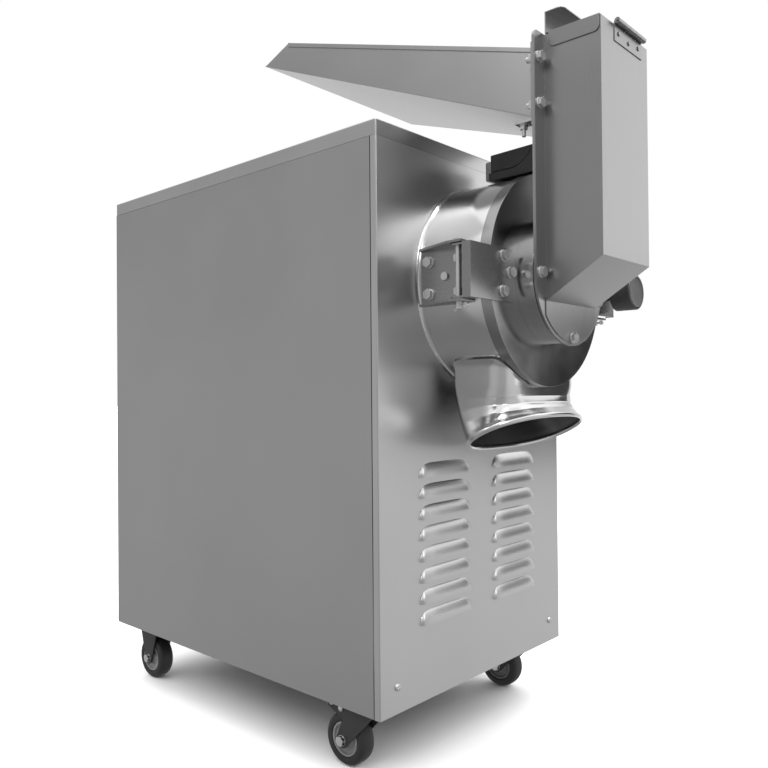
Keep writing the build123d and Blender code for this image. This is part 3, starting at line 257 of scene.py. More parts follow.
class Palette:
    """All the finishes of the machine, made once; the stainless tones are set surface by surface to how
    bright each looks, which paints light and shade into them.
    """

    def __init__(self) -> None:
        """Builds every material."""
        # Painted light and shade: the brushed sheets are one stainless steel, each toned to how bright its
        # own surface looks.
        steel = (0.52, 0.52, 0.525)
        self.side = BrushedSteel("brushed_side", steel, Grain.ALONG_Y, 0.34).build()
        self.front = BrushedSteel("brushed_front", (0.66, 0.66, 0.665), Grain.ALONG_X, 0.33).build()
        self.cover = BrushedSteel("brushed_cover", (0.62, 0.62, 0.625), Grain.ALONG_Y, 0.3).build()
        self.chute = BrushedSteel("brushed_chute", (0.42, 0.42, 0.425), Grain.ALONG_Z, 0.31).build()
        self.tray = BrushedSteel("brushed_tray", (0.48, 0.48, 0.485), Grain.ALONG_Y, 0.33).build()
        self.bracket = BrushedSteel("brushed_bracket", (0.38, 0.38, 0.385), Grain.ALONG_Y, 0.27).build()
        self.chamber = PolishedSteel("polished_chamber", (0.82, 0.82, 0.825), 0.15).build()
        self.spout = PolishedSteel("polished_spout", (0.74, 0.74, 0.745), 0.17, 0.0007).build()
        # The dark tone for the spout's inside faces is painted shade.
        self.inside_shade = MachinedSteel("painted_inside_shade", (0.17, 0.17, 0.17), 0.5, 120.0).build()
        # The polished tones are one steel, each set to how bright its part looks. The door's dark tone is
        # painted shade.
        self.door = PolishedSteel("polished_door_painted_shade", (0.40, 0.40, 0.405), 0.2, 0.0002).build()
        self.lid = BrushedSteel("brushed_lid", (0.40, 0.40, 0.405), Grain.ALONG_X, 0.3).build()
        self.bolt = MachinedSteel("zinc_bolt", (0.80, 0.80, 0.81), 0.32).build()
        self.knob = MachinedSteel("knurled_knob", (0.14, 0.14, 0.145), 0.36).build()
        self.rotor = MachinedSteel("turned_rotor", (0.42, 0.42, 0.43), 0.3).build()
        self.hammer = MachinedSteel("hardened_hammer", (0.30, 0.29, 0.29), 0.42, 160.0).build()
        self.casting = Coating("cast_grey", (0.16, 0.16, 0.17), 0.6, 120.0, 0.0003).build()
        self.powder = Coating("black_powder_coat", (0.018, 0.018, 0.019), 0.42, 700.0, 0.00006).build()
        self.enamel = Coating("motor_enamel", (0.10, 0.14, 0.20), 0.35, 90.0, 0.0002, 0.3).build()
        self.plastic = Coating("black_plastic", (0.012, 0.012, 0.013), 0.38, 900.0).build()
        self.rubber = Coating("black_rubber", (0.016, 0.016, 0.016), 0.62, 600.0).build()
        self.tread = Coating("wheel_tread", (0.014, 0.014, 0.015), 0.5, 400.0).build()
        self.hub = Coating("grey_hub", (0.15, 0.15, 0.155), 0.45, 500.0).build()
        self.belt = Coating("cloth_belt", (0.02, 0.02, 0.02), 0.75, 1500.0, 0.0001).build()
        self.green = Coating("green_button", (0.03, 0.26, 0.08), 0.3, 900.0, 0.00002, 0.3).build()
        self.red = Coating("red_button", (0.42, 0.02, 0.02), 0.3, 900.0, 0.00002, 0.3).build()


# ------------------------------------------------------------------ modelling bench
def deselect() -> None:
    """Leaves nothing selected."""
    bpy.ops.object.select_all(action="DESELECT")


def activate(piece: bpy.types.Object) -> None:
    """Selects one piece alone and makes it active."""
    deselect()
    piece.select_set(True)
    bpy.context.view_layer.objects.active = piece


def settle(piece: bpy.types.Object) -> None:
    """Moves a piece's place and turn into its mesh."""
    activate(piece)
    bpy.ops.object.transform_apply(location=True, rotation=True, scale=True)


def modify(piece: bpy.types.Object, kind: str, **settings) -> None:
    """Adds a modifier to a piece and applies it.

    Args:
        piece: The piece.
        kind: The modifier's type.
        settings: The modifier's properties.
    """
    activate(piece)
    modifier = piece.modifiers.new(kind.lower(), kind)
    for key, value in settings.items():
        setattr(modifier, key, value)
    bpy.ops.object.modifier_apply(modifier=modifier.name)


def smooth(piece: bpy.types.Object) -> None:
    """Shades a piece smooth, with its sharp edges kept."""
    activate(piece)
    bpy.ops.object.shade_smooth_by_angle(angle=SMOOTH_ANGLE)


def tidy(piece: bpy.types.Object) -> None:
    """Merges a piece's doubles and points its faces outwards."""
    activate(piece)
    bpy.ops.object.mode_set(mode="EDIT")
    bpy.ops.mesh.select_all(action="SELECT")
    bpy.ops.mesh.remove_doubles(threshold=0.00001)
    bpy.ops.mesh.normals_make_consistent(inside=False)
    bpy.ops.object.mode_set(mode="OBJECT")


def drop_faces(piece: bpy.types.Object, unwanted: Callable[[Vector], bool]) -> None:
    """Deletes the faces whose normal passes a test.

    Args:
        piece: The piece.
        unwanted: The test, which is given a face's normal.
    """
    activate(piece)
    bpy.ops.object.mode_set(mode="EDIT")
    bpy.ops.mesh.select_mode(type="FACE")
    bpy.ops.mesh.select_all(action="DESELECT")
    bpy.ops.object.mode_set(mode="OBJECT")
    for face in piece.data.polygons:
        face.select = unwanted(face.normal)
    bpy.ops.object.mode_set(mode="EDIT")
    bpy.ops.mesh.delete(type="FACE")
    bpy.ops.mesh.select_mode(type="VERT")
    bpy.ops.object.mode_set(mode="OBJECT")


def new_piece(name: str, mesh: bpy.types.Mesh) -> bpy.types.Object:
    """Stands a mesh in the scene as a piece."""
    piece = bpy.data.objects.new(name, mesh)
    bpy.context.scene.collection.objects.link(piece)
    return piece


def round_edges(piece: bpy.types.Object, width: float, segments: int = 2) -> None:
    """Rounds a piece's sharp edges."""
    modify(
        piece,
        "BEVEL",
        width=width,
        segments=segments,
        limit_method="ANGLE",
        angle_limit=math.radians(40),
        use_clamp_overlap=True,
    )


def finish_piece(
    piece: bpy.types.Object,
    body: str,
    material: bpy.types.Material,
    stands_for: Optional[str] = None,
) -> bpy.types.Object:
    """Gives a piece its finish, the body that it rides on and the node that it stands for.

    Args:
        piece: The piece.
        body: The body that carries it.
        material: Its material.
        stands_for: The CAD node that it replaces, if any.

    Returns:
        The piece.
    """
    smooth(piece)
    modify(piece, "WEIGHTED_NORMAL", mode="FACE_AREA", weight=50, keep_sharp=True)
    piece.data.materials.clear()
    piece.data.materials.append(material)
    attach(piece, body)
    if stands_for:
        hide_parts(stands_for)
    log.info("%s: %d faces on %s", piece.name, len(piece.data.polygons), body)
    return piece


def join(pieces: list[bpy.types.Object], name: str) -> bpy.types.Object:
    """Joins pieces into one object under a name."""
    deselect()
    for piece in pieces:
        piece.select_set(True)
    bpy.context.view_layer.objects.active = pieces[0]
    if len(pieces) > 1:
        bpy.ops.object.join()
    pieces[0].name = name
    return pieces[0]


def copy_of(piece: bpy.types.Object, move: Matrix) -> bpy.types.Object:
    """Copies a piece with its own mesh, moved by a matrix."""
    twin = bpy.data.objects.new(piece.name + "_copy", piece.data.copy())
    twin.data.transform(move)
    bpy.context.scene.collection.objects.link(twin)
    return twin


def cylinder(centre: Point, axis: Point, radius: float, length: float, sides: int = 64) -> bpy.types.Object:
    """Adds a cylinder whose axis points along a direction, with its place in its mesh."""
    turn = Vector((0, 0, 1)).rotation_difference(Vector(axis)).to_euler()
    bpy.ops.mesh.primitive_cylinder_add(
        vertices=sides, radius=radius, depth=length, location=centre, rotation=turn
    )
    piece = bpy.context.active_object
    settle(piece)
    return piece


def cuboid(low: Point, high: Point) -> bpy.types.Object:
    """Adds a box between two corners, with its place in its mesh."""
    centre = [(a + b) / 2 for a, b in zip(low, high)]
    size = [b - a for a, b in zip(low, high)]
    bpy.ops.mesh.primitive_cube_add(size=1.0, location=centre, scale=size)
    piece = bpy.context.active_object
    settle(piece)
    return piece


def lathe(name: str, profile: list[tuple[float, float]], steps: int = 96) -> bpy.types.Object:
    """Spins a closed profile of radius and height about Z.

    Args:
        name: The piece's name.
        profile: The outline's points as radius and height.
        steps: How many steps the turn has.

    Returns:
        The piece, standing at the origin.
    """
    mesh = bpy.data.meshes.new(name)
    count = len(profile)
    edges = [(i, (i + 1) % count) for i in range(count)]
    mesh.from_pydata([(r, 0.0, h) for r, h in profile], edges, [])
    piece = new_piece(name, mesh)
    activate(piece)
    bpy.ops.object.mode_set(mode="EDIT")
    bpy.ops.mesh.select_all(action="SELECT")
    bpy.ops.mesh.spin(steps=steps, angle=2 * math.pi, center=(0, 0, 0), axis=(0, 0, 1))
    bpy.ops.object.mode_set(mode="OBJECT")
    tidy(piece)
    return piece


def stand(piece: bpy.types.Object, at: Point, toward: Point, turn: float = 0.0) -> bpy.types.Object:
    """Moves a piece made at the origin to a place, with its +Z pointing a given way."""
    rotation = Vector((0, 0, 1)).rotation_difference(Vector(toward)).to_matrix().to_4x4()
    piece.data.transform(Matrix.Translation(at) @ rotation @ Matrix.Rotation(turn, 4, "Z"))
    return piece


def cut(piece: bpy.types.Object, tool: bpy.types.Object) -> None:
    """Cuts a tool out of a piece and removes the tool."""
    modify(piece, "BOOLEAN", operation="DIFFERENCE", object=tool, solver="EXACT")
    bpy.data.objects.remove(tool)


def rounded_copy(node: str, width: float, name: str, segments: int = 2) -> bpy.types.Object:
    """Makes a copy of a CAD node with its edges rounded.

    Args:
        node: The CAD node.
        width: The edge's rounding.
        name: The copy's name.
        segments: How many faces a rounded edge has.

    Returns:
        The copy.
    """
    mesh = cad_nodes[node].data.copy()
    piece = new_piece(name, mesh)
    activate(piece)
    bpy.ops.object.mode_set(mode="EDIT")
    bpy.ops.mesh.select_all(action="SELECT")
    bpy.ops.mesh.remove_doubles(threshold=0.000005)
    bpy.ops.mesh.dissolve_limited(angle_limit=math.radians(0.6))
    bpy.ops.object.mode_set(mode="OBJECT")
    if mesh.has_custom_normals:
        bpy.ops.mesh.customdata_custom_splitnormals_clear()
    round_edges(piece, width, segments)
    return piece


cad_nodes: dict[str, bpy.types.Object] = {}


@dataclass
class HexBolt:
    """A hex bolt head with its washer, made at the origin."""

    across_flats: float = 13 * MM
    head: float = 5.3 * MM
    washer_radius: float = 8 * MM
    washer: float = 1.5 * MM

    def build(self, name: str = "hex_bolt") -> bpy.types.Object:
        """Makes the bolt head on its washer, pointing up from the seat."""
        corner = self.across_flats / 2 / math.cos(math.pi / 6)
        head = cylinder((0, 0, self.washer + self.head / 2), (0, 0, 1), corner, self.head, 6)
        modify(head, "SUBSURF", levels=2, render_levels=2, subdivision_type="SIMPLE")
        cone = lathe(
            "bolt_chamfer",
            [
                (0.0, -1 * MM),
                (corner + 0.3 * MM, -1 * MM),
                (corner + 0.3 * MM, self.washer + self.head - 0.9 * MM),
                (self.across_flats / 2 - 0.5 * MM, self.washer + self.head),
                (0.0, self.washer + self.head + 0.001 * MM),
            ],
            48,
        )
        modify(head, "BOOLEAN", operation="INTERSECT", object=cone, solver="EXACT")
        bpy.data.objects.remove(cone)
        washer = lathe(
            "washer",
            [
                (0.0, 0.0),
                (self.washer_radius - 0.2 * MM, 0.0),
                (self.washer_radius, 0.25 * MM),
                (self.washer_radius, self.washer - 0.25 * MM),
                (self.washer_radius - 0.3 * MM, self.washer),
                (0.0, self.washer),
            ],
            40,
        )
        return join([head, washer], name)


# ------------------------------------------------------------------ sub-assemblies
@dataclass
class Cabinet:
    """The cabinet's sheet metal: a louvred front, plain sides, a vented rear and a folded cover."""

    palette: Palette
    sheet: float = 1.5 * MM
    return_depth: float = 10 * MM
    bend: float = 2.2 * MM
    column: float = 90 * MM
    rows: int = 8
    pitch: float = 29.6 * MM
    first: float = 107 * MM
    hood: Point = (61 * MM, 7.8 * MM, 20 * MM)
    notch: tuple[float, float] = (22 * MM, 75 * MM)
    notch_height: float = 10 * MM

    def build(self) -> None:
        """Builds all the panels."""
        self.front_panel()
        self.louvres()
        self.cover()
        for node in ("left_panel", "right_panel", "rear_panel"):
            piece = rounded_copy(node, 0.5 * MM, node + "_sheet")
            material = self.palette.front if node == "rear_panel" else self.palette.side
            finish_piece(piece, "cabinet", material, node)

    def front_panel(self) -> None:
        """Folds the front panel's returns and cuts the chamber's hole and the louvre slots."""
        low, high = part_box("front_panel")
        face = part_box("top_cover")[0][1]
        panel = cuboid((low[0], face, low[2]), (high[0], face + self.return_depth, high[2]))
        drop_faces(panel, lambda normal: normal.y > 0.5 or abs(normal.z) > 0.5)
        modify(panel, "BEVEL", width=self.bend, segments=4, limit_method="ANGLE")
        modify(panel, "SOLIDIFY", thickness=self.sheet, offset=-1.0)
        shaft_low, shaft_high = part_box("rotor_shaft")
        centre_z = (shaft_low[2] + shaft_high[2]) / 2
        door_low, door_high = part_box("chamber_door")
        radius = (door_high[2] - door_low[2]) / 2 - 1.2 * MM
        cut(panel, cylinder((0, face, centre_z), (0, 1, 0), radius, 40 * MM, 160))
        slots = []
        for column in (-self.column, self.column):
            for row in range(self.rows):
                z = low[2] + self.first + row * self.pitch
                x = self.hood[0] - 3 * MM
                corner = (column - x, face - 3 * MM, z)
                slots.append(cuboid(corner, (column + x, face + 6 * MM, z + 0.6 * self.hood[2])))
        cut(panel, join(slots, "slots"))
        panel.name = "front_sheet"
        finish_piece(panel, "cabinet", self.palette.front, "front_panel")

    def louvres(self) -> None:
        """Presses the hoods: full at their open lower edge, and running out at the top and ends."""
        low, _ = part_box("front_panel")
        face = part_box("top_cover")[0][1]
        bpy.ops.mesh.primitive_grid_add(x_subdivisions=40, y_subdivisions=14, size=2.0)
        hood = bpy.context.active_object
        for vertex in hood.data.vertices:
            across, up = vertex.co.x, (vertex.co.y + 1) / 2
            full = (1 - abs(across) ** 5) ** 0.5
            rise = math.cos(up * math.pi / 2) ** 0.85 if up < 1 else 0.0
            reach = 0.92 + 0.08 * math.cos(up * math.pi / 2)
            droop = self.hood[2] * up * (0.55 + 0.45 * full)
            depth = self.hood[1] * full * rise
            vertex.co = (across * self.hood[0] * reach, -depth, droop)
        modify(hood, "SOLIDIFY", thickness=1.0 * MM, offset=0.0)
        tidy(hood)
        copies = []
        for column in (-self.column, self.column):
            for row in range(self.rows):
                z = low[2] + self.first + row * self.pitch
                copies.append(copy_of(hood, Matrix.Translation((column, face + 0.3 * MM, z))))
        bpy.data.objects.remove(hood)
        finish_piece(join(copies, "louvre_hoods"), "cabinet", self.palette.front)

    def cover(self) -> None:
        """Folds the cover's skirts with rounded bends and cuts the front one back."""
        low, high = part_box("top_cover")
        cover = cuboid(low, high)
        drop_faces(cover, lambda normal: normal.z < -0.5)
        modify(cover, "BEVEL", width=self.bend, segments=4, limit_method="ANGLE")
        modify(cover, "SOLIDIFY", thickness=self.sheet, offset=-1.0)
        start = (self.notch[0], low[1] - 5 * MM, low[2] - 5 * MM)
        cut(cover, cuboid(start, (self.notch[1], low[1] + 4 * MM, low[2] + self.notch_height)))
        cover.name = "cover_sheet"
        finish_piece(cover, "cabinet", self.palette.cover, "top_cover")


@dataclass
class Fasteners:
    """The bolts and screws: the frame's own with rounded edges, and those that are added here."""

    palette: Palette
    groups: dict[str, tuple[str, str]] = field(
        default_factory=lambda: {
            "bracket_bolts": ("cabinet", "bolt_zinc"),
            "door_bolts": ("door", "bolt_zinc"),
            "chute_bolts": ("door", "bolt_zinc"),
            "caster_bolts": ("cabinet", "bolt_zinc"),
        }
    )
    foot_zone: float = 200 * MM

    def build(self) -> None:
        """Rounds every bolt of each group."""
        for node, (body, slot) in self.groups.items():
            piece = rounded_copy(node, 0.35 * MM, node + "_rounded", 1)
            finish_piece(piece, body, self.palette.bolt, node)
        self.tray_clamps()
        self.foot_screws()

    def tray_clamps(self) -> None:
        """Hangs a clamp bolt under each front corner of the tray, behind the chute's plate."""
        low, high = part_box("chute_bolts")
        tray_low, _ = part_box("feed_tray")
        parts = []
        bolt = HexBolt(across_flats=10 * MM, head=5 * MM, washer_radius=7 * MM).build("clamp_bolt")
        for x in (low[0] + 8 * MM, high[0] - 8 * MM):
            at = (x, high[1] + 6 * MM, tray_low[2] + 6 * MM)
            parts.append(stand(copy_of(bolt, Matrix.Identity(4)), at, (0, 0, -1), 0.4))
            outline = [(0, 0), (3.0, 0), (3.0, 15.0), (2.4, 16.0), (0, 16.0)]
            shank = lathe("clamp_shank", [(r * MM, h * MM) for r, h in outline], 24)
            parts.append(stand(shank, at, (0, 0, -1)))
            corner = (x + 9 * MM, at[1] + 9 * MM, at[2] + 3 * MM)
            parts.append(cuboid((x - 9 * MM, low[1] + 11 * MM, at[2]), corner))
        bpy.data.objects.remove(bolt)
        finish_piece(join(parts, "tray_clamps"), "door", self.palette.bolt)

    def foot_screws(self) -> None:
        """Domes the cross-slotted screws at the foot of the front panel and in the brackets."""
        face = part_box("top_cover")[0][1]
        low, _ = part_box("front_panel")
        outline = [(0, 0), (5.2, 0), (5.0, 1.2), (3.9, 2.4), (2.0, 3.0), (0, 3.1)]
        dome = lathe("pan_head", [(r * MM, h * MM) for r, h in outline], 40)
        for turn in (0.0, math.pi / 2):
            slot = cuboid((-2.8 * MM, -0.55 * MM, 1.6 * MM), (2.8 * MM, 0.55 * MM, 4 * MM))
            slot.data.transform(Matrix.Rotation(turn + 0.5, 4, "Z"))
            cut(dome, slot)
        points = [vertex.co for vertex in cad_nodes["panel_screws"].data.vertices]
        spots = [at for at in points if at.y < face + 1 * MM and at.z < low[2] + self.foot_zone]
        bolts_low, bolts_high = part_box("bracket_bolts")
        middle = (bolts_low[2] + bolts_high[2]) / 2
        parts = []
        for side in (-1, 1):
            at = (side * (bolts_high[0] - 9 * MM), (bolts_low[1] + bolts_high[1]) / 2, middle)
            parts.append(stand(copy_of(dome, Matrix.Identity(4)), at, (side, 0, 0)))
            near = [spot for spot in spots if spot.x * side > 0]
            x = (min(v.x for v in near) + max(v.x for v in near)) / 2
            z = (min(v.z for v in near) + max(v.z for v in near)) / 2
            at = (x, face - 0.1 * MM, z)
            parts.append(stand(copy_of(dome, Matrix.Identity(4)), at, (0, -1, 0)))
        bpy.data.objects.remove(dome)
        finish_piece(join(parts, "pan_screws"), "cabinet", self.palette.bolt)


@dataclass
class Dressing:
    """CAD nodes that keep their shape: each one's rounding, material and body."""

    palette: Palette

    def build(self) -> None:
        """Rounds the edges of the plates and castings, and paints the rest."""
        p = self.palette
        rounded: dict[str, tuple[float, bpy.types.Material]] = {
            "chamber_drum": (1.2, p.chamber),
            "chamber_door": (1.6, p.door),
            "inlet_boss": (1.6, p.chamber),
            "hinge_bracket": (0.5, p.bracket),
            "latch_bracket": (0.5, p.bracket),
            "door_hinge_bracket": (0.5, p.bracket),
            "door_latch_bracket": (0.5, p.bracket),
            "chute_plate": (0.5, p.tray),
            "feed_chute": (0.5, p.chute),
            "feed_tray": (0.5, p.tray),
            "chute_lid": (0.5, p.lid),
            "caster_front_left_fork": (0.6, p.powder),
            "caster_front_right_fork": (0.6, p.powder),
            "caster_rear_forks": (0.6, p.powder),
            "caster_plates": (0.6, p.powder),
            "lid_hinge_leaf": (0.25, p.bracket),
            "lid_hinge_strap": (0.25, p.bracket),
            "start_button": (1.5, p.green),
            "stop_button": (1.5, p.red),
            "switch_plate": (1.2, p.plastic),
            "cable_gland": (0.6, p.plastic),
        }
        bodies = {n: b for b, ns in frame["record"]["behaviour"]["bodies"].items() for n in ns}
        for node, (width, material) in rounded.items():
            piece = rounded_copy(node, width * MM, node + "_rounded")
            finish_piece(piece, bodies[node], material, node)
        painted: dict[str, bpy.types.Material] = {
            "base_frame": p.powder,
            "panel_screws": p.bolt,
            "sizing_screen": p.rotor,
            "rotor_shaft": p.rotor,
            "rotor_discs": p.rotor,
            "hammer_pins": p.rotor,
            "bearing_housing": p.casting,
            "driven_pulley": p.casting,
            "motor_pulley": p.casting,
            "drive_belts": p.belt,
            "motor_plate": p.powder,
            "bracket_pins": p.bolt,
            "door_seal": p.rubber,
            "chute_gasket": p.rubber,
            "swing_bolt": p.bolt,
            "caster_front_left_brake": p.powder,
            "caster_front_right_brake": p.powder,
        }
        painted.update({f"hammers_{number}": p.hammer for number in range(1, 5)})
        for node, material in painted.items():
            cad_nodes[node].data.materials.clear()
            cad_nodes[node].data.materials.append(material)
            log.info("%s painted %s", node, material.name)


def outline_plate(
    name: str, points: list[tuple[float, float]], x_low: float, x_high: float
) -> bpy.types.Object:
    """Makes a plate from a side outline in Y and Z, between two X planes."""
    mesh = bpy.data.meshes.new(name)
    mesh.from_pydata([(x_low, y, z) for y, z in points], [], [list(range(len(points)))])
    piece = new_piece(name, mesh)
    activate(piece)
    bpy.ops.object.mode_set(mode="EDIT")
    bpy.ops.mesh.select_all(action="SELECT")
    bpy.ops.mesh.extrude_region_move(TRANSFORM_OT_translate={"value": (x_high - x_low, 0, 0)})
    bpy.ops.object.mode_set(mode="OBJECT")
    tidy(piece)
    return piece


def skin(name: str, rings: list[list[Point]], closed: bool = False) -> bpy.types.Object:
    """Joins rings of equal length by faces into one surface.

    Args:
        name: The piece's name.
        rings: The rings, each a closed loop of points.
        closed: Whether the last ring joins the first.

    Returns:
        The piece.
    """
    count = len(rings[0])
    points = [point for ring in rings for point in ring]
    faces = []
    pairs = len(rings) if closed else len(rings) - 1
    for level in range(pairs):
        low, high = level * count, (level + 1) % len(rings) * count
        for i in range(count):
            j = (i + 1) % count
            faces.append((low + i, low + j, high + j, high + i))
    mesh = bpy.data.meshes.new(name)
    mesh.from_pydata(points, [], faces)
    piece = new_piece(name, mesh)
    tidy(piece)
    return piece


@dataclass
class Section:
    """One level of the spout: its height, centre, half sizes, lean and squareness."""

    height: float
    centre: float
    half_width: float
    half_depth: float
    lean: float
    square: float

    def ring(self, count: int) -> list[Point]:
        """Gives the level's outline, rounder as its squareness falls to 2."""
        lean = math.radians(self.lean)
        points = []
        for step in range(count):
            turn = 2 * math.pi * step / count
            across, along = math.cos(turn), math.sin(turn)
            x = math.copysign(abs(across) ** (2 / self.square), across) * self.half_width
            v = math.copysign(abs(along) ** (2 / self.square), along) * self.half_depth
            points.append((x, self.centre - v * math.cos(lean), self.height + v * math.sin(lean)))
        return points

    def mixed(self, other: "Section", share: float) -> "Section":
        """Gives the level a share of the way to another."""
        ends = zip(astuple(self), astuple(other))
        return Section(*(start + (end - start) * share for start, end in ends))


@dataclass
class DischargeSpout:
    """The polished spout: a squarish neck that opens into a leaning oval bell with a rolled rim."""

    palette: Palette
    wall: float = 2 * MM
    rim: float = 4.2 * MM
    count: int = 144
    steps: int = 6
    bead_sides: int = 16
    weld_place: float = 0.355
    weld_size: float = 0.7 * MM
    weld_steps: int = 8
    weld_sides: int = 10

    def build(self) -> None:
        """Skins the bell, rolls its rim and lays its weld."""
        low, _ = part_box("discharge_spout")
        drum_low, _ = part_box("chamber_drum")
        shaft_low, shaft_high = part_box("rotor_shaft")
        axis = (shaft_low[2] + shaft_high[2]) / 2
        radius = axis - drum_low[2]
        neck_y, neck_depth = low[1] + 70.5 * MM, 47 * MM
        levels = [
            Section(axis - 148 * MM, neck_y, 98.0 * MM, neck_depth, 0, 7.5),
            Section(axis - 166 * MM, neck_y, 99.5 * MM, neck_depth, 2, 5.2),
            Section(axis - 182 * MM, neck_y - 3 * MM, 103.5 * MM, 47.5 * MM, 8, 4.0),
            Section(axis - 197 * MM, neck_y - 9 * MM, 111 * MM, 49.5 * MM, 16, 3.1),
            Section(axis - 209 * MM, neck_y - 16 * MM, 121 * MM, 52.5 * MM, 23, 2.5),
            Section(axis - 217 * MM, neck_y - 21 * MM, 129.4 * MM, 54.5 * MM, 28, 2.2),
        ]
        rings = []
        top = levels[0].ring(self.count)
        surface = radius - 0.6 * MM
        for share, spread in ((0.0, 1.055), (0.07, 1.03), (0.16, 1.014), (0.3, 1.004), (0.6, 1.0)):
            ring = []
            for x, y, z in top:
                joint = axis - math.sqrt(surface**2 - min(abs(x * spread), surface) ** 2)
                ring.append((x * spread, y, joint + (z - joint) * share))
            rings.append(ring)
        for first, second in zip(levels, levels[1:]):
            for step in range(self.steps):
                rings.append(first.mixed(second, step / self.steps).ring(self.count))
        rings.append(levels[-1].ring(self.count))
        bell = skin("spout_bell", rings)
        modify(bell, "SOLIDIFY", thickness=self.wall, offset=-1.0)
        finish_piece(bell, "cabinet", self.palette.spout, "discharge_spout")
        self.darken_inside(bell, neck_y, levels[0].height)
        self.roll_rim(levels[-1])
        self.weld(levels)

    def darken_inside(self, bell: bpy.types.Object, centre_y: float, top: float) -> None:
        """Gives the faces that look towards the spout's middle a dull, dark finish, painted shade inside the
        spout.
        """
        # The second material paints shade on the faces inside the spout.
        bell.data.materials.append(self.palette.inside_shade)
        for face in bell.data.polygons:
            outward = Vector((face.center.x, face.center.y - centre_y, 0))
            if face.normal.dot(outward) < 0 and face.center.z < top:
                face.material_index = 1

    def roll_rim(self, mouth: Section) -> None:
        """Rolls the bead round the mouth."""
        lean = math.radians(mouth.lean)
        normal = Vector((0, math.sin(lean), math.cos(lean)))
        middle = Vector((0, mouth.centre, mouth.height))
        rings = []
        for point in mouth.ring(self.count):
            at = Vector(point)
            outward = (at - middle).normalized()
            ring = []
            for step in range(self.bead_sides):
                turn = 2 * math.pi * step / self.bead_sides
                ring.append(tuple(at + self.rim * (outward * math.cos(turn) + normal * math.sin(turn))))
            rings.append(ring)
        bead = skin("spout_rim", rings, closed=True)
        finish_piece(bead, "cabinet", self.palette.spout)

    def weld(self, levels: list[Section]) -> None:
        """Lays the ground weld down the spout's front left side."""
        index = round(self.count * self.weld_place)
        places = []
        for first, second in zip(levels, levels[1:]):
            for step in range(self.weld_steps):
                level = first.mixed(second, step / self.weld_steps)
                places.append(Vector(level.ring(self.count)[index]))
        rings = []
        for number, at in enumerate(places):
            size = self.weld_size * (1 + 0.3 * math.sin(number * 2.1))
            ring = []
            for step in range(self.weld_sides):
                turn = 2 * math.pi * step / self.weld_sides
                ring.append((at.x + size * math.cos(turn), at.y + size * math.sin(turn), at.z))
            rings.append(ring)
        finish_piece(skin("spout_weld", rings), "cabinet", self.palette.spout)


@dataclass
class Interlock:
    """The black door switch: a base with a swept-up front, and a cover whose front is chamfered."""

    palette: Palette
    edge: float = 1.6 * MM
    arc_steps: int = 12

    def build(self) -> None:
        """Builds the base and the cover from side outlines."""
        low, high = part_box("interlock_base")
        cover_low, cover_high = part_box("interlock_cover")
        split = cover_low[2]
        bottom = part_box("chamber_door")[1][2] + 0.6 * MM
        crest = high[2]
        start = cover_low[1] + 40 * MM
        arc = []
        for step in range(self.arc_steps + 1):
            share = step / self.arc_steps
            y = start + (cover_low[1] + 1 * MM - start) * share
            arc.append((y, split + (crest - split) * share**2.2))
        tail = cover_high[1] + 3 * MM
        base = [(tail, split - 0.4 * MM), (tail, bottom), (low[1], bottom), (low[1], crest)]
        sweep = [(y, z - 0.4 * MM) for y, z in reversed(arc)]
        piece = outline_plate("interlock_body", base + sweep, low[0], high[0])
        round_edges(piece, self.edge, 3)
        finish_piece(piece, "cabinet", self.palette.plastic, "interlock_base")
        top = cover_high[2]
        cover = arc + [(cover_low[1] + 1.5 * MM, top), (cover_high[1], top - 2 * MM)]
        cover.append((cover_high[1], split))
        piece = outline_plate("interlock_lid", cover, cover_low[0] + 1 * MM, cover_high[0] - 1 * MM)
        round_edges(piece, self.edge, 3)
        finish_piece(piece, "cabinet", self.palette.plastic, "interlock_cover")
        block = cuboid((-26 * MM, tail - 1 * MM, bottom + 3 * MM), (26 * MM, high[1], crest - 5 * MM))
        round_edges(block, 2.5 * MM, 3)
        block.name = "interlock_block"
        finish_piece(block, "cabinet", self.palette.bracket)
        corner = (18 * MM, tail - 9 * MM, bottom + 1 * MM)
        foot = cuboid((-18 * MM, low[1] + 30 * MM, bottom - 6 * MM), corner)
        round_edges(foot, 1.5 * MM, 2)
        foot.name = "interlock_foot"
        finish_piece(foot, "cabinet", self.palette.plastic)


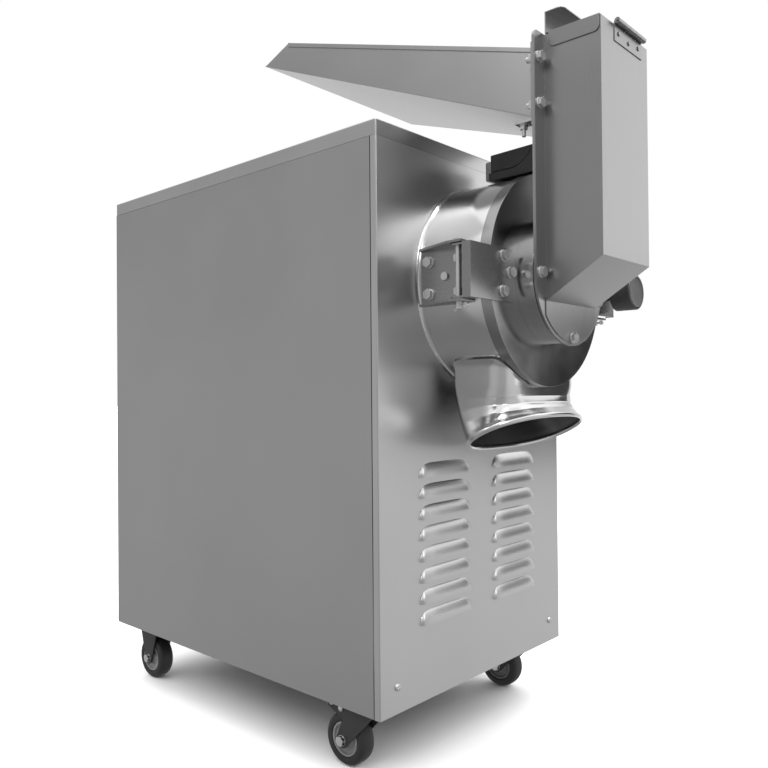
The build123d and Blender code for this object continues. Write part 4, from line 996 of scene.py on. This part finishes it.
@dataclass
class LatchKnob:
    """The knurled knob with its plain collar and dished end."""

    palette: Palette
    diamonds: int = 96
    rows: int = 16
    fine: int = 4
    relief: float = 0.55 * MM

    def build(self) -> None:
        """Rolls the knurl and closes both ends."""
        low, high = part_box("latch_knob")
        centre = ((low[0] + high[0]) / 2, (low[2] + high[2]) / 2)
        radius = (high[0] - low[0]) / 2
        back = high[1]
        collar = back - 10 * MM
        count = self.diamonds * self.fine
        length = collar - low[1]
        profile = [(5.4 * MM, back), (9.4 * MM, back), (10 * MM, back - 0.6 * MM)]
        profile += [(10 * MM, collar + 0.8 * MM), (11 * MM, collar), (radius - 2.2 * MM, collar)]
        rings = [self.ring(count, r, y, centre) for r, y in profile]
        levels = self.rows * self.fine
        for level in range(levels + 1):
            share = level / levels
            y = collar - 1.2 * MM - (length - 3.0 * MM) * share
            ring = []
            for i in range(count):
                phase = math.pi * i / self.fine
                rise = math.pi * level / self.fine
                groove = abs(math.sin((phase + rise) / 2)) * abs(math.sin((phase - rise) / 2))
                turn = 2 * math.pi * i / count
                r = radius - self.relief * (1 - groove)
                ring.append((centre[0] + r * math.cos(turn), y, centre[1] + r * math.sin(turn)))
            rings.append(ring)
        for inset, y in ((1.6, 0.5), (2.6, 0.0), (4.5, 0.0), (5.5, 0.8), (20.0, 1.0)):
            rings.append(self.ring(count, radius - inset * MM, low[1] + y * MM, centre))
        rings.append(self.ring(count, 0.0, low[1] + 1.0 * MM, centre))
        finish_piece(skin("knurled_knob", rings), "knob", self.palette.knob, "latch_knob")

    def ring(self, count: int, radius: float, y: float, centre: tuple[float, float]) -> list[Point]:
        """Gives a plain ring round the knob's axis."""
        turns = [2 * math.pi * i / count for i in range(count)]
        return [(centre[0] + radius * math.cos(t), y, centre[1] + radius * math.sin(t)) for t in turns]


@dataclass
class Casters:
    """Black casters with rounded treads on grey hubs, bright rivets and axle nuts."""

    palette: Palette
    nut_reach: float = 18.0 * MM
    rivet_reach: float = 19.4 * MM

    def build(self) -> None:
        """Builds each wheel and its fork's bright parts."""
        for place in CASTER_PLACES:
            node = f"caster_{place}_wheel"
            low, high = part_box(node)
            centre = [(a + b) / 2 for a, b in zip(low, high)]
            tyre = lathe("tyre", self.tyre_profile((high[2] - low[2]) / 2))
            stand(tyre, centre, (1, 0, 0))
            tyre.name = f"tyre_{place}"
            finish_piece(tyre, f"{place}_wheel", self.palette.tread, node)
            hub = lathe("hub", self.hub_profile())
            stand(hub, centre, (1, 0, 0))
            hub.name = f"hub_{place}"
            finish_piece(hub, f"{place}_wheel", self.palette.hub)
            body = f"{place}_fork" if place.startswith("front") else "cabinet"
            self.bright_parts(place, centre, body)

    def tyre_profile(self, radius: float) -> list[tuple[float, float]]:
        """Gives the tread's outline: a crowned tread with a moulded step at the hub."""
        side = [(-13.0, 11.0), (-12.0, 13.2), (-8.0, 14.0), (-3.6, 13.0)]
        side += [(-1.4, 10.6), (-0.4, 7.2), (0.0, 3.0)]
        return self.mirrored([(radius + r * MM, h * MM) for r, h in side])

    def hub_profile(self) -> list[tuple[float, float]]:
        """Gives the hub's outline: a rim, a dished web and a boss round the bore."""
        half = [(24.8, 11.2), (24.0, 12.4), (21.5, 12.2), (20.0, 9.0)]
        half += [(14.0, 7.5), (11.5, 9.5), (11.0, 13.6), (4.3, 13.8)]
        return self.mirrored([(r * MM, h * MM) for r, h in half])

    def mirrored(self, outer: list[tuple[float, float]]) -> list[tuple[float, float]]:
        """Closes half an outline with its mirror image."""
        return outer + [(r, -h) for r, h in reversed(outer)]

    def bright_parts(self, place: str, axle: list[float], body: str) -> None:
        """Adds the axle nuts, and the brake's rivets on a front caster."""
        parts = []
        nut = HexBolt(washer_radius=7.6 * MM, washer=0.9 * MM, head=5.0 * MM).build("axle_nut")
        for side in (-1, 1):
            at = (axle[0] + side * self.nut_reach, axle[1], axle[2])
            twin = copy_of(nut, Matrix.Identity(4))
            parts.append(stand(twin, at, (side, 0, 0), 0.3))
        bpy.data.objects.remove(nut)
        if place.startswith("front"):
            outline = [(0, 0), (4.4, 0), (4.0, 1.4), (2.6, 2.3), (0, 2.6)]
            dome = lathe("rivet", [(r * MM, h * MM) for r, h in outline], 32)
            brake_low, brake_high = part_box(f"caster_{place}_brake")
            pin = (brake_low[1] + 5 * MM, brake_high[2] - 4 * MM)
            for y, z in (pin, (axle[1], pin[1] - 4.5 * MM)):
                for side in (-1, 1):
                    twin = copy_of(dome, Matrix.Identity(4))
                    parts.append(stand(twin, (axle[0] + side * self.rivet_reach, y, z), (side, 0, 0)))
            bpy.data.objects.remove(dome)
        piece = join(parts, f"bright_parts_{place}")
        finish_piece(piece, body, self.palette.bolt)


@dataclass
class SplitPins:
    """The bent wire pins under the hinge and latch pins."""

    palette: Palette
    wire: float = 0.9 * MM

    def build(self) -> None:
        """Bends a loop and two splayed legs of wire on each side."""
        low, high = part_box("bracket_pins")
        for side, x in (("left", low[0] + 6.5 * MM), ("right", high[0] - 6.5 * MM)):
            y, z = low[1] + 13.6 * MM, low[2] + 4.5 * MM
            route = [
                (x, y + 9 * MM, z - 6 * MM),
                (x, y + 4 * MM, z - 1.5 * MM),
                (x, y - 5 * MM, z),
                (x, y - 9.5 * MM, z + 2.6 * MM),
                (x, y - 13.0 * MM, z),
                (x, y - 9.5 * MM, z - 2.6 * MM),
                (x, y - 5 * MM, z - 0.4 * MM),
                (x, y + 3 * MM, z - 1.6 * MM),
                (x, y + 7 * MM, z - 8 * MM),
            ]
            curve = bpy.data.curves.new("split_pin", "CURVE")
            curve.dimensions = "3D"
            curve.bevel_depth = self.wire
            curve.bevel_resolution = 3
            spline = curve.splines.new("NURBS")
            spline.points.add(len(route) - 1)
            for point, at in zip(spline.points, route):
                point.co = (*at, 1.0)
            spline.order_u = 3
            spline.use_endpoint_u = True
            holder = bpy.data.objects.new("split_pin_curve", curve)
            bpy.context.scene.collection.objects.link(holder)
            activate(holder)
            bpy.ops.object.convert(target="MESH")
            wire = bpy.context.active_object
            wire.name = f"split_pin_{side}"
            finish_piece(wire, "cabinet", self.palette.bolt)


@dataclass
class DriveUnit:
    """The motor behind the panels: a finned frame with end bells, a fan cowl and a terminal box."""

    palette: Palette
    radius: float = 80 * MM
    fins: int = 36
    fin_height: float = 7 * MM
    fin_width: float = 2.4 * MM

    def build(self) -> None:
        """Casts the finned frame over the motor's place."""
        low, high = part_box("motor_body")
        pulley_low, pulley_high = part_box("motor_pulley")
        axis_z = (pulley_low[2] + pulley_high[2]) / 2
        radius = self.radius
        start, end = low[1], high[1]
        core = radius - self.fin_height
        profile = [
            (13 * MM, start),
            (40 * MM, start),
            (radius - 6 * MM, start + 14 * MM),
            (radius - 2 * MM, start + 16 * MM),
            (radius - 2 * MM, start + 30 * MM),
            (core, start + 32 * MM),
            (core, end - 60 * MM),
            (radius - 1 * MM, end - 58 * MM),
            (radius - 1 * MM, end - 8 * MM),
            (radius - 10 * MM, end),
            (13 * MM, end),
        ]
        shell = lathe("motor_shell", [(r, h - start) for r, h in profile])
        stand(shell, (0, start, axis_z), (0, 1, 0))
        parts = [shell]
        length = end - start - 92 * MM
        fin = cuboid((-self.fin_width / 2, 0, core - 1 * MM), (self.fin_width / 2, length, radius - 0.5 * MM))
        round_edges(fin, 0.6 * MM, 1)
        for number in range(self.fins):
            turn = Matrix.Rotation(2 * math.pi * number / self.fins, 4, "Y")
            move = Matrix.Translation((0, start + 32 * MM, axis_z)) @ turn
            parts.append(copy_of(fin, move))
        bpy.data.objects.remove(fin)
        for side in (-1, 1):
            inner, outer = sorted((side * 40 * MM, side * 85 * MM))
            foot = cuboid((inner, start + 34 * MM, low[2]), (outer, end - 30 * MM, low[2] + 12 * MM))
            round_edges(foot, 2 * MM)
            parts.append(foot)
            web = sorted((side * 46 * MM, side * 54 * MM))
            corner = (web[0], start + 40 * MM, low[2] + 8 * MM)
            parts.append(cuboid(corner, (web[1], end - 36 * MM, axis_z - 50 * MM)))
        box = cuboid((-45 * MM, start + 64 * MM, axis_z + 60 * MM), (45 * MM, start + 154 * MM, high[2]))
        round_edges(box, 4 * MM, 3)
        parts.append(box)
        piece = join(parts, "finned_motor")
        finish_piece(piece, "cabinet", self.palette.enamel, "motor_body")


@dataclass
class Studio:
    """A pale floor, soft lights and the camera."""

    camera_at: Point = (-0.9760, -0.90995, 0.5325)
    azimuth: float = -47.799
    elevation: float = -0.578
    roll: float = -0.477
    lens: float = 35.74
    floor_size: float = 60.0
    # Each lobe has a direction, the cosines where it begins and is full, and the sky's strength
    # outside and inside it.
    lobes: tuple[tuple[Point, float, float, float, float], ...] = (
        ((-0.74, -0.67, 0.12), 0.5, 0.95, 0.85, 0.72),
        ((0.85, -0.52, -0.05), 0.25, 0.95, 1.0, 1.4),
        ((0.66, 0.72, -0.1), 0.5, 0.95, 1.0, 1.9),
    )

    def build(self) -> None:
        """Sets the floor, the world, the lights and the camera."""
        bpy.ops.mesh.primitive_plane_add(size=self.floor_size, location=(0, 0, -0.0005))
        floor = bpy.context.active_object
        floor.name = "floor"
        paint = Graph("pale_floor")
        paint.shader.inputs["Base Color"].default_value = (0.88, 0.88, 0.88, 1)
        paint.shader.inputs["Roughness"].default_value = 0.8
        floor.data.materials.append(paint.material)
        floor.visible_glossy = False
        self.flag()
        self.world()
        self.lamps()
        self.camera()

    def flag(self) -> None:
        """Stands a dark card to the right that only reflections see, for depth in the polish."""
        card = cuboid((-0.01, -0.26, 0.34), (0.01, 0.26, 0.77))
        card.name = "flag"
        card.data.transform(Matrix.Translation((0.98, -0.80, 0)) @ Matrix.Rotation(math.radians(-28), 4, "Z"))
        felt = Graph("black_felt")
        felt.shader.inputs["Base Color"].default_value = (0.02, 0.02, 0.02, 1)
        felt.shader.inputs["Roughness"].default_value = 0.9
        card.data.materials.append(felt.material)
        card.visible_camera = False
        card.visible_diffuse = False
        card.visible_shadow = False

    def world(self) -> None:
        """Makes a studio sky: pale to the eye, with soft bright and dark bands to reflect."""
        world = bpy.data.worlds.new("studio")
        bpy.context.scene.world = world
        bpy.context.scene.view_settings.view_transform = "Standard"
        world.use_nodes = True
        nodes, links = world.node_tree.nodes, world.node_tree.links
        nodes.clear()
        place = nodes.new("ShaderNodeTexCoord")
        split = nodes.new("ShaderNodeSeparateXYZ")
        links.new(place.outputs["Generated"], split.inputs[0])
        ramp = nodes.new("ShaderNodeValToRGB")
        stops = [(0.0, 0.40), (0.2, 0.30), (0.33, 0.55), (0.5, 0.60)]
        stops += [(0.63, 0.50), (0.72, 0.46), (0.82, 1.35), (1.0, 1.3)]
        height = nodes.new("ShaderNodeMapRange")
        height.inputs["From Min"].default_value = -1.0
        links.new(split.outputs["Z"], height.inputs["Value"])
        links.new(height.outputs["Result"], ramp.inputs["Fac"])
        while len(ramp.color_ramp.elements) < len(stops):
            ramp.color_ramp.elements.new(0.5)
        for element, (at, tone) in zip(ramp.color_ramp.elements, stops):
            element.position = at
            element.color = (tone, tone, tone, 1)
        lit = nodes.new("ShaderNodeBackground")
        strength: Optional[bpy.types.NodeSocket] = None
        for toward, near, far, low, high in self.lobes:
            dot = nodes.new("ShaderNodeVectorMath")
            dot.operation = "DOT_PRODUCT"
            dot.inputs[1].default_value = Vector(toward).normalized()
            links.new(place.outputs["Generated"], dot.inputs[0])
            reach = nodes.new("ShaderNodeMapRange")
            reach.interpolation_type = "SMOOTHSTEP"
            reach.inputs["From Min"].default_value = near
            reach.inputs["From Max"].default_value = far
            reach.inputs["To Min"].default_value = low
            reach.inputs["To Max"].default_value = high
            links.new(dot.outputs["Value"], reach.inputs["Value"])
            if strength is None:
                strength = reach.outputs["Result"]
                continue
            product = nodes.new("ShaderNodeMath")
            product.operation = "MULTIPLY"
            links.new(strength, product.inputs[0])
            links.new(reach.outputs["Result"], product.inputs[1])
            strength = product.outputs[0]
        links.new(strength, lit.inputs["Strength"])
        links.new(ramp.outputs["Color"], lit.inputs["Color"])
        seen = nodes.new("ShaderNodeBackground")
        seen.inputs["Color"].default_value = (1, 1, 1, 1)
        seen.inputs["Strength"].default_value = 1.0
        path = nodes.new("ShaderNodeLightPath")
        mix = nodes.new("ShaderNodeMixShader")
        links.new(path.outputs["Is Camera Ray"], mix.inputs["Fac"])
        links.new(lit.outputs[0], mix.inputs[1])
        links.new(seen.outputs[0], mix.inputs[2])
        output = nodes.new("ShaderNodeOutputWorld")
        links.new(mix.outputs[0], output.inputs["Surface"])

    def lamps(self) -> None:
        """Hangs four soft boxes round the machine, and a broad sun that reflections don't show."""
        boxes = (
            ("key_light", (-0.4, -3.2, 2.4), (0.0, -0.2, 0.6), 1.2, 10.0),
            ("side_light", (-3.0, -0.9, 2.9), (0.0, 0.1, 0.5), 1.2, 9.0),
            ("right_light", (3.2, -1.9, 1.6), (0.0, -0.1, 0.6), 2.4, 11.0),
            ("top_light", (0.2, -0.6, 3.4), (0.0, -0.2, 0.6), 1.6, 34.0),
        )
        sun = bpy.data.lights.new("floor_light", "SUN")
        sun.energy = 3.6
        sun.angle = 2.2
        holder = bpy.data.objects.new("floor_light", sun)
        holder.visible_glossy = False
        bpy.context.scene.collection.objects.link(holder)
        for name, at, aim, size, power in boxes:
            lamp = bpy.data.lights.new(name, "AREA")
            lamp.shape = "SQUARE"
            lamp.size = size
            lamp.energy = power
            holder = bpy.data.objects.new(name, lamp)
            holder.location = at
            holder.rotation_euler = (Vector(aim) - Vector(at)).to_track_quat("-Z", "Y").to_euler()
            bpy.context.scene.collection.objects.link(holder)

    def camera(self) -> None:
        """Places the camera and aims it."""
        azimuth, elevation = math.radians(self.azimuth), math.radians(self.elevation)
        back = Vector(
            (
                math.sin(azimuth) * math.cos(elevation),
                -math.cos(azimuth) * math.cos(elevation),
                math.sin(elevation),
            )
        )
        right = (-back).cross(Vector((0, 0, 1))).normalized()
        up = right.cross(-back)
        roll = math.radians(self.roll)
        level = right * math.cos(roll) + up * math.sin(roll)
        upright = -right * math.sin(roll) + up * math.cos(roll)
        lens = bpy.data.cameras.new("camera")
        lens.lens = self.lens
        lens.sensor_width = 36.0
        lens.clip_end = 100.0
        holder = bpy.data.objects.new("camera", lens)
        turn = Matrix((level, upright, back)).transposed().to_4x4()
        holder.matrix_world = Matrix.Translation(self.camera_at) @ turn
        bpy.context.scene.collection.objects.link(holder)
        bpy.context.scene.camera = holder


def main() -> None:
    """Builds the machine's sub-assemblies in order, and the studio round them."""
    logging.basicConfig(level=logging.INFO, format="%(message)s")
    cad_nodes.update(frame["nodes"])
    palette = Palette()
    Studio().build()
    Cabinet(palette).build()
    Fasteners(palette).build()
    Dressing(palette).build()
    DischargeSpout(palette).build()
    Interlock(palette).build()
    LatchKnob(palette).build()
    SplitPins(palette).build()
    Casters(palette).build()
    DriveUnit(palette).build()


if __name__ == "__main__":
    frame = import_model()
    main()
